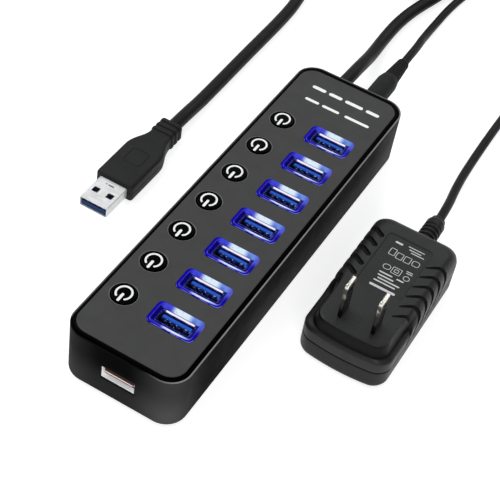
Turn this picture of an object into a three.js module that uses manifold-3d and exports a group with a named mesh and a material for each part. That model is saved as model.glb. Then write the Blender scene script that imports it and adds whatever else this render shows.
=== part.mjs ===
// A seven-port USB hub with a switch for each port, its captive cable and its mains adapter.
// Millimetres, +Z up. The origin is under the middle of the hub, on the surface it stands on.
// The hub lies along Y: the captive cable and the power lead leave its +Y end, and a charging
// socket is in its -Y end. Seen from above, the buttons are on the -X side, the ports on +X.

import * as THREE from 'three';
import { mergeVertices } from 'three/addons/utils/BufferGeometryUtils.js';
import Module from 'manifold-3d';

const wasm = await Module();
wasm.setup();

// Driving dimensions.

const CASING_WIDTH = 45.2;
const CASING_LENGTH = 168.4;
const CASING_CORNER = 8;
const WALL = 1.8;
const FOOT_HEIGHT = 0.8;
const FACE_TOP = 24.4;

const ROW_PITCH = 18;
const FIRST_ROW_Y = -61.5;
const ROWS = 7;
const BUTTON_X = -13.2;
const PORT_X = 7;

const SHEET_THICKNESS = 0.3;
const PLATE_THICKNESS = 1.7;
const PLATE_BEVEL_IN = 1.4;
const PLATE_BEVEL_DOWN = 0.9;
const DECK_THICKNESS = 1.5;
const LIP_THICKNESS = 0.55;
const LIP_BELOW_FACE = 0.9;
const SIDE_GAP = 0.05;

const BUTTON_RADIUS = 4.55;
const BUTTON_HOLE_RADIUS = 4.8;
const BUTTON_FLANGE_RADIUS = 5.5;
const BUTTON_STEM_RADIUS = 1.7;
const BUTTON_PROUD = 0.6;
const BUTTON_TRAVEL = 1.2;
const BUTTON_REST_GAP = 0.2;

const FRAME_OPENING = { x: 17.9, y: 10.55, corner: 2 };
const FRAME_PROUD = 0.3;
const FRAME_SLOPE_DOWN = 0.9;
const FLANGE_THICKNESS = 1;
const FLANGE_REACH = 0.9;

const SHELL_X = 13.3;
const SHELL_Y = 5.8;
const SHELL_WALL = 0.35;
const SHELL_BELOW_FACE = 0.4;
const TONGUE_X = 11.1;
const TONGUE_THICKNESS = 1.9;
const TONGUE_OFFSET = 1;
const TONGUE_BELOW_FACE = 1.7;

const BOARD_TOP = 9.4;
const BOARD_THICKNESS = 1.6;
const BOARD_WIDTH = 39;
const BOARD_LENGTH = 160;
const SWITCH_HEIGHT = 3.6;

const CHARGE_X = 0.35;
const CHARGE_Z = 12.35;
const CHARGE_DEPTH = 14;

const CABLE_X = -9.1;
const POWER_X = 5.2;
const EXIT_Z = 12.8;
const CABLE_HOLE_RADIUS = 3.5;
const POWER_HOLE_RADIUS = 3.3;
const GROMMET_TIP_Y = 93;
const CABLE_DIAMETER = 5.5;
const LEAD_DIAMETER = 3.6;
const TOUCH_GAP = 0.3;

const USB_COIL = { x: -38, y: 214, radius: 31.5, width: 11, height: 11 };
const LEAD_COIL = { x: 33, y: 232, radius: 19.1, width: 14.4, height: 7.2 };

const PLUG_X = -54.8;
const PLUG_WIDTH = 16.3;
const PLUG_THICKNESS = 8;
const PLUG_SHELL_TIP_Y = -18;
const PLUG_SHELL_ROOT_Y = -4.6;
const PLUG_SHELL_WIDTH = 12;
const PLUG_SHELL_THICKNESS = 4.5;
const PLUG_NECK_END_Y = 40;

const DC_PLUG_RADIUS = 4.4;
const DC_PLUG_TIP_Y = 122;
const DC_BARREL_RADIUS = 2.75;
const DC_BARREL_HOLE_RADIUS = 1.2;
const DC_BORE_RADIUS = 3;
const DC_PIN_RADIUS = 0.8;

const ADAPTER_X = 54.45;
const ADAPTER_Y = 1.3;
const ADAPTER_WIDTH = 33.8;
const ADAPTER_LENGTH = 63;
const ADAPTER_CORNER = 5;
const ADAPTER_SEAM_Z = 8;
const ADAPTER_SEAM_GAP = 0.3;
const ADAPTER_TOP = 19.8;
const ADAPTER_BEVEL = 4.2;
const ADAPTER_WALL = 2;
const BLADE_SPACING = 12.7;
const BLADE_X = 55.25;
const BLADE_Y = -20.6;
const BLADE_LENGTH = 15.9;
const ADAPTER_LEAD_X = 55.2;
const ADAPTER_LEAD_Z = 8.2;
const ADAPTER_RELIEF_TIP_Y = 51;

// Levels that follow from the driving dimensions.

const HALF_LENGTH = CASING_LENGTH / 2;
const PLATE_TOP = FACE_TOP - SHEET_THICKNESS;
const DECK_TOP = PLATE_TOP - PLATE_THICKNESS;
const DECK_BOTTOM = DECK_TOP - DECK_THICKNESS;
const LIP_TOP = FACE_TOP - LIP_BELOW_FACE;
const PLATE_WIDTH = CASING_WIDTH - 2 * (LIP_THICKNESS + SIDE_GAP);
const PLATE_LENGTH = CASING_LENGTH - 2 * (LIP_THICKNESS + SIDE_GAP);
const PLATE_CORNER = CASING_CORNER - LIP_THICKNESS - SIDE_GAP;
const BOARD_BOTTOM = BOARD_TOP - BOARD_THICKNESS;
const ARC_STEPS = 5;
const FRAME_STEPS = 2;
const ROUND_STEPS = 14;
const MERGE_DISTANCE = 1e-4;

const rowY = (row) => FIRST_ROW_Y + row * ROW_PITCH;
const rowNumbers = Array.from({ length: ROWS }, (_, row) => row);

// Materials.

function plastic(color, roughness) {
  return new THREE.MeshStandardMaterial({ color, roughness, metalness: 0 });
}

function metal(color, roughness) {
  return new THREE.MeshStandardMaterial({ color, roughness, metalness: 1 });
}

const MATERIAL = {
  casing: plastic(0x1b1b1c, 0.45),
  glossBlack: plastic(0x050505, 0.12),
  faceGrey: plastic(0x434343, 0.6),
  button: plastic(0x060606, 0.15),
  lightBlue: plastic(0x1b1be6, 0.2),
  steel: metal(0xc8c8ca, 0.25),
  tongueBlue: plastic(0x1f5fc0, 0.4),
  tongueRed: plastic(0x5a1a16, 0.5),
  board: plastic(0x14532d, 0.5),
  jack: plastic(0x101010, 0.5),
  rubber: plastic(0x151515, 0.8),
  cord: plastic(0x1c1c1c, 0.55),
  adapter: plastic(0x343535, 0.5),
  brass: metal(0xd9c9a0, 0.25),
};

// Shape helpers.

function roundedOutline(width, length, corner) {
  const x = width / 2;
  const y = length / 2;
  const outline = new THREE.Shape();
  outline.moveTo(x - corner, -y);
  outline.absarc(x - corner, -y + corner, corner, -Math.PI / 2, 0, false);
  outline.absarc(x - corner, y - corner, corner, 0, Math.PI / 2, false);
  outline.absarc(-x + corner, y - corner, corner, Math.PI / 2, Math.PI, false);
  outline.absarc(-x + corner, -y + corner, corner, Math.PI, 1.5 * Math.PI, false);
  return outline;
}

function slab(outline, bottom, top, curveSegments = ARC_STEPS) {
  const settings = { depth: top - bottom, bevelEnabled: false, curveSegments };
  return new THREE.ExtrudeGeometry(outline, settings).translate(0, 0, bottom);
}

function box(sizeX, sizeY, bottom, top, x = 0, y = 0) {
  const geometry = new THREE.BoxGeometry(sizeX, sizeY, top - bottom);
  return geometry.translate(x, y, (bottom + top) / 2);
}

// A slab whose top edge is bevelled: inset sideways by "inset" over the last "rise" of height.
function bevelledSlab(outline, bottom, top, inset, rise, bevelSegments = 1) {
  const settings = {
    depth: top - bottom,
    bevelEnabled: true,
    bevelThickness: rise,
    bevelSize: inset,
    bevelOffset: -inset,
    bevelSegments,
    curveSegments: ARC_STEPS,
  };
  const bevelled = new THREE.ExtrudeGeometry(outline, settings);
  bevelled.translate(0, 0, bottom - rise);
  bevelled.computeBoundingBox();
  const reach = 2 * bevelled.boundingBox.max.distanceTo(bevelled.boundingBox.min);
  return geometryOf(solidOf(bevelled).intersect(solidOf(box(reach, reach, bottom, top))));
}

// A turned piece about Z. The profile's points are [radius, z], from the axis back to the axis.
function turned(profile, segments) {
  const points = profile.map(([radius, z]) => new THREE.Vector2(radius, z));
  return new THREE.LatheGeometry(points, segments).rotateX(Math.PI / 2);
}

// A turned piece about the line through (x, z) along Y. The profile's points are [radius, y].
function turnedAlongY(profile, segments, x, z) {
  const points = profile.map(([radius, y]) => new THREE.Vector2(radius, y));
  return new THREE.LatheGeometry(points, segments).translate(x, 0, z);
}

// Plain rods: an upright one, and one along Y through (x, z).
function rod(radius, bottom, top, segments) {
  return turned([[0, bottom], [radius, bottom], [radius, top], [0, top]], segments);
}

function rodAlongY(radius, from, to, segments, x, z) {
  return turnedAlongY([[0, from], [radius, from], [radius, to], [0, to]], segments, x, z);
}

function solidOf(geometry) {
  const bare = geometry.clone();
  bare.deleteAttribute('normal');
  bare.deleteAttribute('uv');
  const merged = mergeVertices(bare, MERGE_DISTANCE);
  const corners = merged.index.array;
  const faces = [];
  for (let i = 0; i < corners.length; i += 3) {
    const [a, b, c] = [corners[i], corners[i + 1], corners[i + 2]];
    if (a !== b && b !== c && c !== a) {
      faces.push(a, b, c);
    }
  }
  const vertProperties = new Float32Array(merged.attributes.position.array);
  const triVerts = new Uint32Array(faces);
  return new wasm.Manifold(new wasm.Mesh({ numProp: 3, vertProperties, triVerts }));
}

function geometryOf(solid) {
  const mesh = solid.getMesh();
  const geometry = new THREE.BufferGeometry();
  geometry.setAttribute('position', new THREE.BufferAttribute(mesh.vertProperties, 3));
  geometry.setIndex(new THREE.BufferAttribute(mesh.triVerts, 1));
  geometry.computeVertexNormals();
  return geometry;
}

function cut(geometry, ...tools) {
  const solid = tools.reduce((rest, tool) => rest.subtract(solidOf(tool)), solidOf(geometry));
  return geometryOf(solid);
}

function join(geometry, ...others) {
  const solid = others.reduce((whole, other) => whole.add(solidOf(other)), solidOf(geometry));
  return geometryOf(solid);
}

const hub = new THREE.Group();

function add(name, geometry, material, x = 0, y = 0) {
  const mesh = new THREE.Mesh(geometry, material);
  mesh.name = name;
  mesh.position.set(x, y, 0);
  hub.add(mesh);
}

// Openings that the deck, the plate and the sheet share.

function faceOpenings(bottom, top) {
  const openings = [];
  for (const row of rowNumbers) {
    const buttonHole = rod(BUTTON_HOLE_RADIUS, bottom, top, ROUND_STEPS);
    openings.push(buttonHole.translate(BUTTON_X, rowY(row), 0));
    const outline = roundedOutline(FRAME_OPENING.x, FRAME_OPENING.y, FRAME_OPENING.corner);
    openings.push(slab(outline, bottom, top, FRAME_STEPS).translate(PORT_X, rowY(row), 0));
  }
  return openings;
}

// Casing: upright walls, a deck under the face, and a thin lip round the top plate.

function casing() {
  const outer = slab(roundedOutline(CASING_WIDTH, CASING_LENGTH, CASING_CORNER), FOOT_HEIGHT, LIP_TOP);
  const inside = roundedOutline(CASING_WIDTH - 2 * WALL, CASING_LENGTH - 2 * WALL, CASING_CORNER - WALL);
  const hollow = slab(inside, FOOT_HEIGHT - 1, DECK_BOTTOM);
  const recessOutline = roundedOutline(
    CASING_WIDTH - 2 * LIP_THICKNESS,
    CASING_LENGTH - 2 * LIP_THICKNESS,
    CASING_CORNER - LIP_THICKNESS,
  );
  const recess = slab(recessOutline, DECK_TOP, LIP_TOP + 1);
  const chargeHole = box(SHELL_X + 0.2, 6, CHARGE_Z - SHELL_Y / 2 - 0.1, CHARGE_Z + SHELL_Y / 2 + 0.1);
  chargeHole.translate(CHARGE_X, -HALF_LENGTH, 0);
  const cableHole = rodAlongY(CABLE_HOLE_RADIUS, HALF_LENGTH - 4, HALF_LENGTH + 2, 16, CABLE_X, EXIT_Z);
  const powerHole = rodAlongY(POWER_HOLE_RADIUS, HALF_LENGTH - 4, HALF_LENGTH + 2, 16, POWER_X, EXIT_Z);
  const openings = faceOpenings(DECK_BOTTOM - 1, DECK_TOP + 1);
  return cut(outer, hollow, recess, chargeHole, cableHole, powerHole, ...openings);
}

const POST_RADIUS = 3;
const SCREW_RECESS_RADIUS = 2.6;
const SCREW_RECESS_DEPTH = 1;
const SCREW_PLACES = [[-14.5, -56], [14.5, -56], [-14.5, 56], [14.5, 56]];
const FOOT_PLACES = [[-14, -73], [14, -73], [-14, 73], [14, 73]];

// Base cover: a plate inside the walls, with four posts that carry the board and take screws.
function baseCover() {
  const width = CASING_WIDTH - 2 * (WALL + SIDE_GAP);
  const length = CASING_LENGTH - 2 * (WALL + SIDE_GAP);
  const top = FOOT_HEIGHT + WALL;
  const plate = slab(roundedOutline(width, length, CASING_CORNER - WALL), FOOT_HEIGHT, top);
  const post = rod(POST_RADIUS, top - 0.5, BOARD_BOTTOM, 12);
  const recess = rod(SCREW_RECESS_RADIUS, -1, FOOT_HEIGHT + SCREW_RECESS_DEPTH, 12);
  const posts = SCREW_PLACES.map(([x, y]) => post.clone().translate(x, y, 0));
  const recesses = SCREW_PLACES.map(([x, y]) => recess.clone().translate(x, y, 0));
  return cut(join(plate, ...posts), ...recesses);
}

function foot() {
  return turned([[0, 0], [3.6, 0], [4, 0.3], [4, FOOT_HEIGHT], [0, FOOT_HEIGHT]], 16);
}

// Top plate: glossy, with a bevel all round that rises out of the casing's lip.
function topPlate() {
  const outline = roundedOutline(PLATE_WIDTH, PLATE_LENGTH, PLATE_CORNER);
  const plate = bevelledSlab(outline, DECK_TOP, PLATE_TOP, PLATE_BEVEL_IN, PLATE_BEVEL_DOWN);
  return cut(plate, ...faceOpenings(DECK_TOP - 1, PLATE_TOP + 1));
}

function faceSheet() {
  const width = PLATE_WIDTH - 2 * PLATE_BEVEL_IN;
  const length = PLATE_LENGTH - 2 * PLATE_BEVEL_IN;
  const sheet = slab(roundedOutline(width, length, PLATE_CORNER - PLATE_BEVEL_IN), PLATE_TOP, FACE_TOP);
  return cut(sheet, ...faceOpenings(PLATE_TOP - 1, FACE_TOP + 1));
}

// Circuit board with the bodies of its switches, light diodes, chips and capacitors.
function circuitBoard() {
  const pieces = [];
  for (const row of rowNumbers) {
    pieces.push(box(6.2, 6.2, BOARD_TOP - 0.4, BOARD_TOP + SWITCH_HEIGHT, BUTTON_X, rowY(row)));
    pieces.push(box(1.6, 3.2, BOARD_TOP - 0.4, BOARD_TOP + 1, 16.4, rowY(row)));
  }
  for (const y of [-34.5, 37.5]) {
    pieces.push(box(9, 9, BOARD_BOTTOM - 1, BOARD_BOTTOM + 0.4, 0, y));
  }
  for (const y of [60, 67]) {
    pieces.push(rod(2.5, BOARD_TOP - 0.4, BOARD_TOP + 7, 12).translate(-3.5, y, 0));
  }
  return join(box(BOARD_WIDTH, BOARD_LENGTH, BOARD_BOTTOM, BOARD_TOP), ...pieces);
}

// Light frame: a ring that slopes down to the socket, held by a flange under the deck.
function lightFrame() {
  const { x, y, corner } = FRAME_OPENING;
  const top = FACE_TOP + FRAME_PROUD;
  const ring = slab(roundedOutline(x - 0.2, y - 0.2, corner - 0.1), DECK_BOTTOM - 0.5, top, FRAME_STEPS);
  const flangeOutline = roundedOutline(x + 2 * FLANGE_REACH, y + 2 * FLANGE_REACH, corner);
  const flange = slab(flangeOutline, DECK_BOTTOM - FLANGE_THICKNESS, DECK_BOTTOM, 1);
  const innerX = SHELL_X + 0.2;
  const innerY = SHELL_Y + 0.2;
  const middle = box(innerX, innerY, DECK_BOTTOM - 3, top + 1);
  const slopeX = (x - 1.4 - innerX) / 2;
  const funnelShape = roundedOutline(x - 1.4, innerY + 2 * slopeX, slopeX + 0.05);
  const funnel = new THREE.ExtrudeGeometry(funnelShape, {
    depth: 2,
    bevelEnabled: true,
    bevelThickness: FRAME_SLOPE_DOWN,
    bevelSize: slopeX,
    bevelOffset: -slopeX,
    bevelSegments: 1,
    curveSegments: FRAME_STEPS,
  });
  funnel.translate(0, 0, top);
  return cut(join(ring, flange), middle, funnel);
}

// Upright socket shell: a pressed metal cup on the board, open at its top.
function socketShell() {
  const top = FACE_TOP - SHELL_BELOW_FACE;
  const outer = slab(roundedOutline(SHELL_X, SHELL_Y, 0.6), BOARD_TOP + SIDE_GAP, top, 1);
  const innerOutline = roundedOutline(SHELL_X - 2 * SHELL_WALL, SHELL_Y - 2 * SHELL_WALL, 0.3);
  return cut(outer, slab(innerOutline, BOARD_TOP + SIDE_GAP + SHELL_WALL, top + 1, 1));
}

function socketInsert() {
  const bottom = BOARD_TOP + 2 * SIDE_GAP + SHELL_WALL;
  const blockTop = BOARD_TOP + 5;
  const blockX = SHELL_X - 2 * SHELL_WALL - 0.2;
  const blockY = SHELL_Y - 2 * SHELL_WALL - 0.2;
  const block = box(blockX, blockY, bottom, blockTop);
  const tip = FACE_TOP - TONGUE_BELOW_FACE;
  const tongue = box(TONGUE_X, TONGUE_THICKNESS, blockTop - 1, tip, 0, TONGUE_OFFSET);
  return join(block, tongue);
}

// Push button: a low domed cap, a flange that stops it under the deck, and a stem.
function button() {
  const top = FACE_TOP + BUTTON_PROUD;
  const flangeTop = DECK_BOTTOM - BUTTON_REST_GAP;
  const flangeBottom = flangeTop - 1;
  const stemBottom = BOARD_TOP + SWITCH_HEIGHT + BUTTON_TRAVEL + BUTTON_REST_GAP;
  const profile = [
    [0, stemBottom],
    [BUTTON_STEM_RADIUS, stemBottom],
    [BUTTON_STEM_RADIUS, flangeBottom],
    [BUTTON_FLANGE_RADIUS, flangeBottom],
    [BUTTON_FLANGE_RADIUS, flangeTop],
    [BUTTON_RADIUS, flangeTop],
    [BUTTON_RADIUS, top - 0.35],
    [BUTTON_RADIUS - 0.35, top - 0.05],
    [0, top],
  ];
  return turned(profile, ROUND_STEPS);
}

// Charging socket lying in the -Y end, its mouth flush with the casing.
function chargePortShell() {
  const y0 = -HALF_LENGTH;
  const outer = slab(roundedOutline(SHELL_X, SHELL_Y, 0.6), 0, CHARGE_DEPTH, 2);
  const innerOutline = roundedOutline(SHELL_X - 2 * SHELL_WALL, SHELL_Y - 2 * SHELL_WALL, 0.3);
  const shell = cut(outer, slab(innerOutline, SHELL_WALL, CHARGE_DEPTH + 1, 2));
  shell.rotateX(Math.PI / 2);
  return shell.translate(CHARGE_X, y0 + CHARGE_DEPTH, CHARGE_Z);
}

function chargePortInsert() {
  const back = -HALF_LENGTH + CHARGE_DEPTH - SHELL_WALL - SIDE_GAP;
  const blockFront = back - 4;
  const tip = -HALF_LENGTH + 0.5;
  const blockX = SHELL_X - 2 * SHELL_WALL - 0.2;
  const blockZ = SHELL_Y - 2 * SHELL_WALL - 0.2;
  const block = new THREE.BoxGeometry(blockX, back - blockFront, blockZ);
  block.translate(CHARGE_X, (back + blockFront) / 2, CHARGE_Z);
  const tongue = new THREE.BoxGeometry(TONGUE_X, blockFront + 1 - tip, TONGUE_THICKNESS);
  tongue.translate(CHARGE_X, (blockFront + 1 + tip) / 2, CHARGE_Z + TONGUE_OFFSET);
  return join(block, tongue);
}

// Barrel jack on the board, with its bore facing the +Y wall and a centre pin.
function dcJack() {
  const mouth = HALF_LENGTH - WALL - 0.2;
  const back = mouth - 12;
  const bottom = BOARD_TOP + SIDE_GAP;
  const body = box(9.4, mouth - back, bottom, 2 * EXIT_Z - bottom + 1.5, POWER_X, (mouth + back) / 2);
  const bore = rodAlongY(DC_BORE_RADIUS, back + 1.5, mouth + 1, 12, POWER_X, EXIT_Z);
  const pin = rodAlongY(DC_PIN_RADIUS, back + 0.5, mouth - 1, 8, POWER_X, EXIT_Z);
  return join(cut(body, bore), pin);
}

function dcPlugBarrel() {
  const root = HALF_LENGTH + TOUCH_GAP;
  const tip = root - 9;
  const hole = DC_BARREL_HOLE_RADIUS;
  const profile = [
    [hole, tip],
    [DC_BARREL_RADIUS, tip],
    [DC_BARREL_RADIUS, root],
    [hole, root],
    [hole, tip],
  ];
  return turnedAlongY(profile, 12, POWER_X, EXIT_Z);
}

// Moulded grip of the barrel plug: a cylinder, a shoulder and a tapered neck.
function dcPlugBody() {
  const root = HALF_LENGTH + TOUCH_GAP + SIDE_GAP;
  const profile = [
    [0, root],
    [DC_PLUG_RADIUS, root],
    [DC_PLUG_RADIUS, 105.5],
    [3.9, 108],
    [3.5, 109],
    [2.5, DC_PLUG_TIP_Y],
    [0, DC_PLUG_TIP_Y],
  ];
  return turnedAlongY(profile, 16, POWER_X, EXIT_Z);
}

// Cable strain relief: a flange inside the wall, a neck through it and a tapered sleeve.
function cableGrommet() {
  const inside = HALF_LENGTH - WALL - 0.1;
  const outside = HALF_LENGTH + 0.1;
  const profile = [
    [0, inside - 1.4],
    [4.7, inside - 1.4],
    [4.7, inside],
    [3.4, inside],
    [3.4, outside],
    [4.2, outside],
    [4.2, outside + 1.5],
    [3.2, GROMMET_TIP_Y],
    [0, GROMMET_TIP_Y],
  ];
  return turnedAlongY(profile, 14, CABLE_X, EXIT_Z);
}

// Cords. Each route is the cord's centre line where it isn't coiled.

const USB_RUN_ROUTE = [
  [-9.1, 93.3, 12.8],
  [-9.1, 100, 12.3],
  [-9.4, 108, 11],
  [-10, 116, 8.9],
  [-10.8, 124, 6.4],
  [-11.7, 132, 4.4],
  [-12.5, 140, 3.1],
  [-12.8, 148, 2.8],
  [-12.6, 158, 2.8],
  [-11.5, 168, 2.8],
  [-9.7, 177, 2.8],
  [-8.1, 183.5, 2.8],
  [-6.9, 188.6, 2.8],
];

const USB_TAIL_ROUTE = [
  [-68.4, 188, 3.6],
  [-66.6, 181, 2.9],
  [-63.6, 171, 2.8],
  [-60.2, 160, 2.8],
  [-57.4, 149, 2.8],
  [-55.8, 138, 2.8],
  [-55.2, 126, 2.8],
  [-55.1, 112, 2.8],
  [-55.1, 98, 2.8],
  [-55, 84, 2.8],
  [-54.9, 70, 2.8],
  [-54.8, 58, 3],
  [-54.8, 49, 3.6],
  [-54.8, 40.3, 4],
];

const LEAD_RUN_ROUTE = [
  [5.2, 122.3, 12.8],
  [4.9, 130, 12],
  [4.2, 138, 10.2],
  [3.1, 146, 7.9],
  [2, 154, 5.2],
  [1.2, 162, 3.1],
  [0.9, 170, 2.05],
  [1, 180, 1.85],
  [1.7, 190, 1.85],
  [3.1, 200, 1.85],
  [4.9, 209, 1.85],
  [6.6, 217, 1.85],
];

const LEAD_TAIL_ROUTE = [
  [57.4, 213, 2.2],
  [57.1, 204, 1.85],
  [56.2, 192, 1.85],
  [54.8, 178, 1.85],
  [53.2, 164, 1.85],
  [51.9, 150, 1.85],
  [51.1, 137, 1.85],
  [50.8, 124, 1.85],
  [50.8, 111, 1.85],
  [51, 98, 1.85],
  [51.5, 86, 2.2],
  [52.6, 75, 3.7],
  [53.9, 66, 5.6],
  [54.8, 58, 7.4],
  [55.2, 51.3, 8.2],
];

function cordTube(route, diameter, sides, steps) {
  const path = new THREE.CatmullRomCurve3(route.map((point) => new THREE.Vector3(...point)));
  const section = new THREE.Shape();
  for (let side = 0; side < sides; side += 1) {
    const angle = (2 * Math.PI * side) / sides;
    const point = [(diameter / 2) * Math.cos(angle), (diameter / 2) * Math.sin(angle)];
    if (side === 0) {
      section.moveTo(...point);
    } else {
      section.lineTo(...point);
    }
  }
  return new THREE.ExtrudeGeometry(section, { steps, extrudePath: path, bevelEnabled: false });
}

// The outer shape of a coil: a ring whose section has rounded shoulders.
function coilRing({ radius, width, height }) {
  const inner = radius - width / 2;
  const outer = radius + width / 2;
  const round = height / 4;
  const profile = [
    [inner + round, 0],
    [outer - round, 0],
    [outer, round],
    [outer, height - round],
    [outer - round, height],
    [inner + round, height],
    [inner, height - round],
    [inner, round],
    [inner + round, 0],
  ];
  return turned(profile, 20);
}

// Plug of the captive cable. Its grip is an outline with shoulders, which narrows to a neck.

function plugGrip() {
  const half = PLUG_WIDTH / 2;
  const outline = new THREE.Shape();
  outline.moveTo(-half, PLUG_SHELL_ROOT_Y);
  outline.lineTo(half, PLUG_SHELL_ROOT_Y);
  outline.lineTo(half, 15);
  outline.bezierCurveTo(half, 20, 5, 22, 4.9, 28);
  outline.lineTo(4.6, PLUG_NECK_END_Y);
  outline.lineTo(-4.6, PLUG_NECK_END_Y);
  outline.lineTo(-4.9, 28);
  outline.bezierCurveTo(-5, 22, -half, 20, -half, 15);
  outline.closePath();
  const settings = {
    depth: PLUG_THICKNESS - 2,
    bevelEnabled: true,
    bevelThickness: 1,
    bevelSize: 1,
    bevelOffset: -1,
    bevelSegments: 1,
    curveSegments: 5,
  };
  return new THREE.ExtrudeGeometry(outline, settings).translate(PLUG_X, 0, 1);
}

function plugShell() {
  const length = PLUG_SHELL_ROOT_Y - SIDE_GAP - PLUG_SHELL_TIP_Y;
  const outer = slab(roundedOutline(PLUG_SHELL_WIDTH, PLUG_SHELL_THICKNESS, 0.5), 0, length, 2);
  const innerOutline = roundedOutline(PLUG_SHELL_WIDTH - 0.6, PLUG_SHELL_THICKNESS - 0.6, 0.3);
  const shell = cut(outer, slab(innerOutline, 0.4, length + 1, 2));
  shell.rotateX(Math.PI / 2);
  return shell.translate(PLUG_X, PLUG_SHELL_TIP_Y + length, PLUG_THICKNESS / 2);
}

function plugInsert() {
  const root = PLUG_SHELL_ROOT_Y - 0.6;
  const tip = PLUG_SHELL_TIP_Y + 0.2;
  const floor = PLUG_THICKNESS / 2 - PLUG_SHELL_THICKNESS / 2 + 0.35;
  return box(PLUG_SHELL_WIDTH - 1.1, root - tip, floor, floor + 2.1, PLUG_X, (root + tip) / 2);
}

// Mains adapter, lying on its back with its blades up.

function adapterOutline(shrink = 0) {
  return roundedOutline(ADAPTER_WIDTH - 2 * shrink, ADAPTER_LENGTH - 2 * shrink, ADAPTER_CORNER - shrink);
}

function adapterFront() {
  const bottom = ADAPTER_SEAM_Z + ADAPTER_SEAM_GAP;
  const outer = bevelledSlab(adapterOutline(), bottom, ADAPTER_TOP, ADAPTER_BEVEL, ADAPTER_BEVEL, 2);
  const hollow = slab(adapterOutline(ADAPTER_WALL), bottom - 1, ADAPTER_TOP - ADAPTER_BEVEL, 3);
  return cut(outer, hollow);
}

function adapterBack() {
  const outer = bevelledSlab(adapterOutline(), 0, ADAPTER_SEAM_Z, 1.6, 1.6);
  outer.rotateX(Math.PI).translate(0, 0, ADAPTER_SEAM_Z);
  return cut(outer, slab(adapterOutline(ADAPTER_WALL), ADAPTER_WALL, ADAPTER_SEAM_Z + 1, 3));
}

function adapterBoard() {
  const bottom = ADAPTER_WALL + SIDE_GAP;
  const board = box(24, 54, bottom, bottom + 1.6);
  const transformer = box(16, 18, bottom + 1, 14.5, 1, 8);
  const filter = box(10, 12, bottom + 1, 11, -5, -12);
  const capacitor = rod(4, bottom + 1, 14, 12).translate(6, -14, 0);
  const output = rod(3, bottom + 1, 12, 12).translate(-6, 22, 0);
  return join(board, transformer, filter, capacitor, output);
}

// One flat blade with a rounded tip and a hole.
function blade() {
  const outline = new THREE.Shape();
  outline.moveTo(-3.15, 0);
  outline.lineTo(3.15, 0);
  outline.lineTo(3.15, BLADE_LENGTH - 1.4);
  outline.lineTo(2, BLADE_LENGTH);
  outline.lineTo(-2, BLADE_LENGTH);
  outline.lineTo(-3.15, BLADE_LENGTH - 1.4);
  outline.closePath();
  const hole = new THREE.Path();
  hole.absarc(0, BLADE_LENGTH - 4.5, 1.5, 0, 2 * Math.PI, true);
  outline.holes.push(hole);
  const plate = new THREE.ExtrudeGeometry(outline, { depth: 1.5, bevelEnabled: false, curveSegments: 4 });
  plate.translate(0, 0, -0.75);
  plate.rotateX(Math.PI / 2);
  plate.rotateZ(Math.PI / 2);
  return plate.translate(0, 0, ADAPTER_TOP + SIDE_GAP);
}

function adapterRelief() {
  const root = ADAPTER_Y + ADAPTER_LENGTH / 2 + TOUCH_GAP;
  const tip = ADAPTER_RELIEF_TIP_Y;
  const profile = [[0, root], [3.9, root], [4.1, root + 3], [3.8, tip - 3], [3, tip], [0, tip]];
  return turnedAlongY(profile, 12, ADAPTER_LEAD_X, ADAPTER_LEAD_Z);
}

// The hub.

add('casing', casing(), MATERIAL.casing);
add('base_cover', baseCover(), MATERIAL.casing);
add('top_plate', topPlate(), MATERIAL.glossBlack);
add('face_sheet', faceSheet(), MATERIAL.faceGrey);
add('circuit_board', circuitBoard(), MATERIAL.board);
FOOT_PLACES.forEach(([x, y], index) => add(`foot_${index + 1}`, foot(), MATERIAL.rubber, x, y));
for (const row of rowNumbers) {
  const number = row + 1;
  add(`light_frame_${number}`, lightFrame(), MATERIAL.lightBlue, PORT_X, rowY(row));
  add(`socket_shell_${number}`, socketShell(), MATERIAL.steel, PORT_X, rowY(row));
  add(`socket_insert_${number}`, socketInsert(), MATERIAL.tongueBlue, PORT_X, rowY(row));
  add(`button_${number}`, button(), MATERIAL.button, BUTTON_X, rowY(row));
}
add('charge_port_shell', chargePortShell(), MATERIAL.steel);
add('charge_port_insert', chargePortInsert(), MATERIAL.tongueRed);
add('dc_jack', dcJack(), MATERIAL.jack);
add('cable_grommet', cableGrommet(), MATERIAL.rubber);

// The captive cable and its plug.

add('usb_cable_run', cordTube(USB_RUN_ROUTE, CABLE_DIAMETER, 8, 9), MATERIAL.cord);
add('usb_cable_coil', coilRing(USB_COIL), MATERIAL.cord, USB_COIL.x, USB_COIL.y);
add('usb_cable_tail', cordTube(USB_TAIL_ROUTE, CABLE_DIAMETER, 8, 12), MATERIAL.cord);
add('usb_plug_grip', plugGrip(), MATERIAL.cord);
add('usb_plug_shell', plugShell(), MATERIAL.steel);
add('usb_plug_insert', plugInsert(), MATERIAL.tongueBlue);

// The power lead, its barrel plug and the adapter.

add('dc_plug_body', dcPlugBody(), MATERIAL.cord);
add('dc_plug_barrel', dcPlugBarrel(), MATERIAL.steel);
add('power_lead_run', cordTube(LEAD_RUN_ROUTE, LEAD_DIAMETER, 8, 12), MATERIAL.cord);
add('power_lead_coil', coilRing(LEAD_COIL), MATERIAL.cord, LEAD_COIL.x, LEAD_COIL.y);
add('power_lead_tail', cordTube(LEAD_TAIL_ROUTE, LEAD_DIAMETER, 8, 18), MATERIAL.cord);
add('adapter_relief', adapterRelief(), MATERIAL.cord);
add('adapter_front', adapterFront(), MATERIAL.adapter, ADAPTER_X, ADAPTER_Y);
add('adapter_back', adapterBack(), MATERIAL.adapter, ADAPTER_X, ADAPTER_Y);
add('adapter_board', adapterBoard(), MATERIAL.board, ADAPTER_X, ADAPTER_Y);
add('adapter_blade_1', blade(), MATERIAL.brass, BLADE_X - BLADE_SPACING / 2, BLADE_Y);
add('adapter_blade_2', blade(), MATERIAL.brass, BLADE_X + BLADE_SPACING / 2, BLADE_Y);

export default hub;
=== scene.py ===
import math

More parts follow.
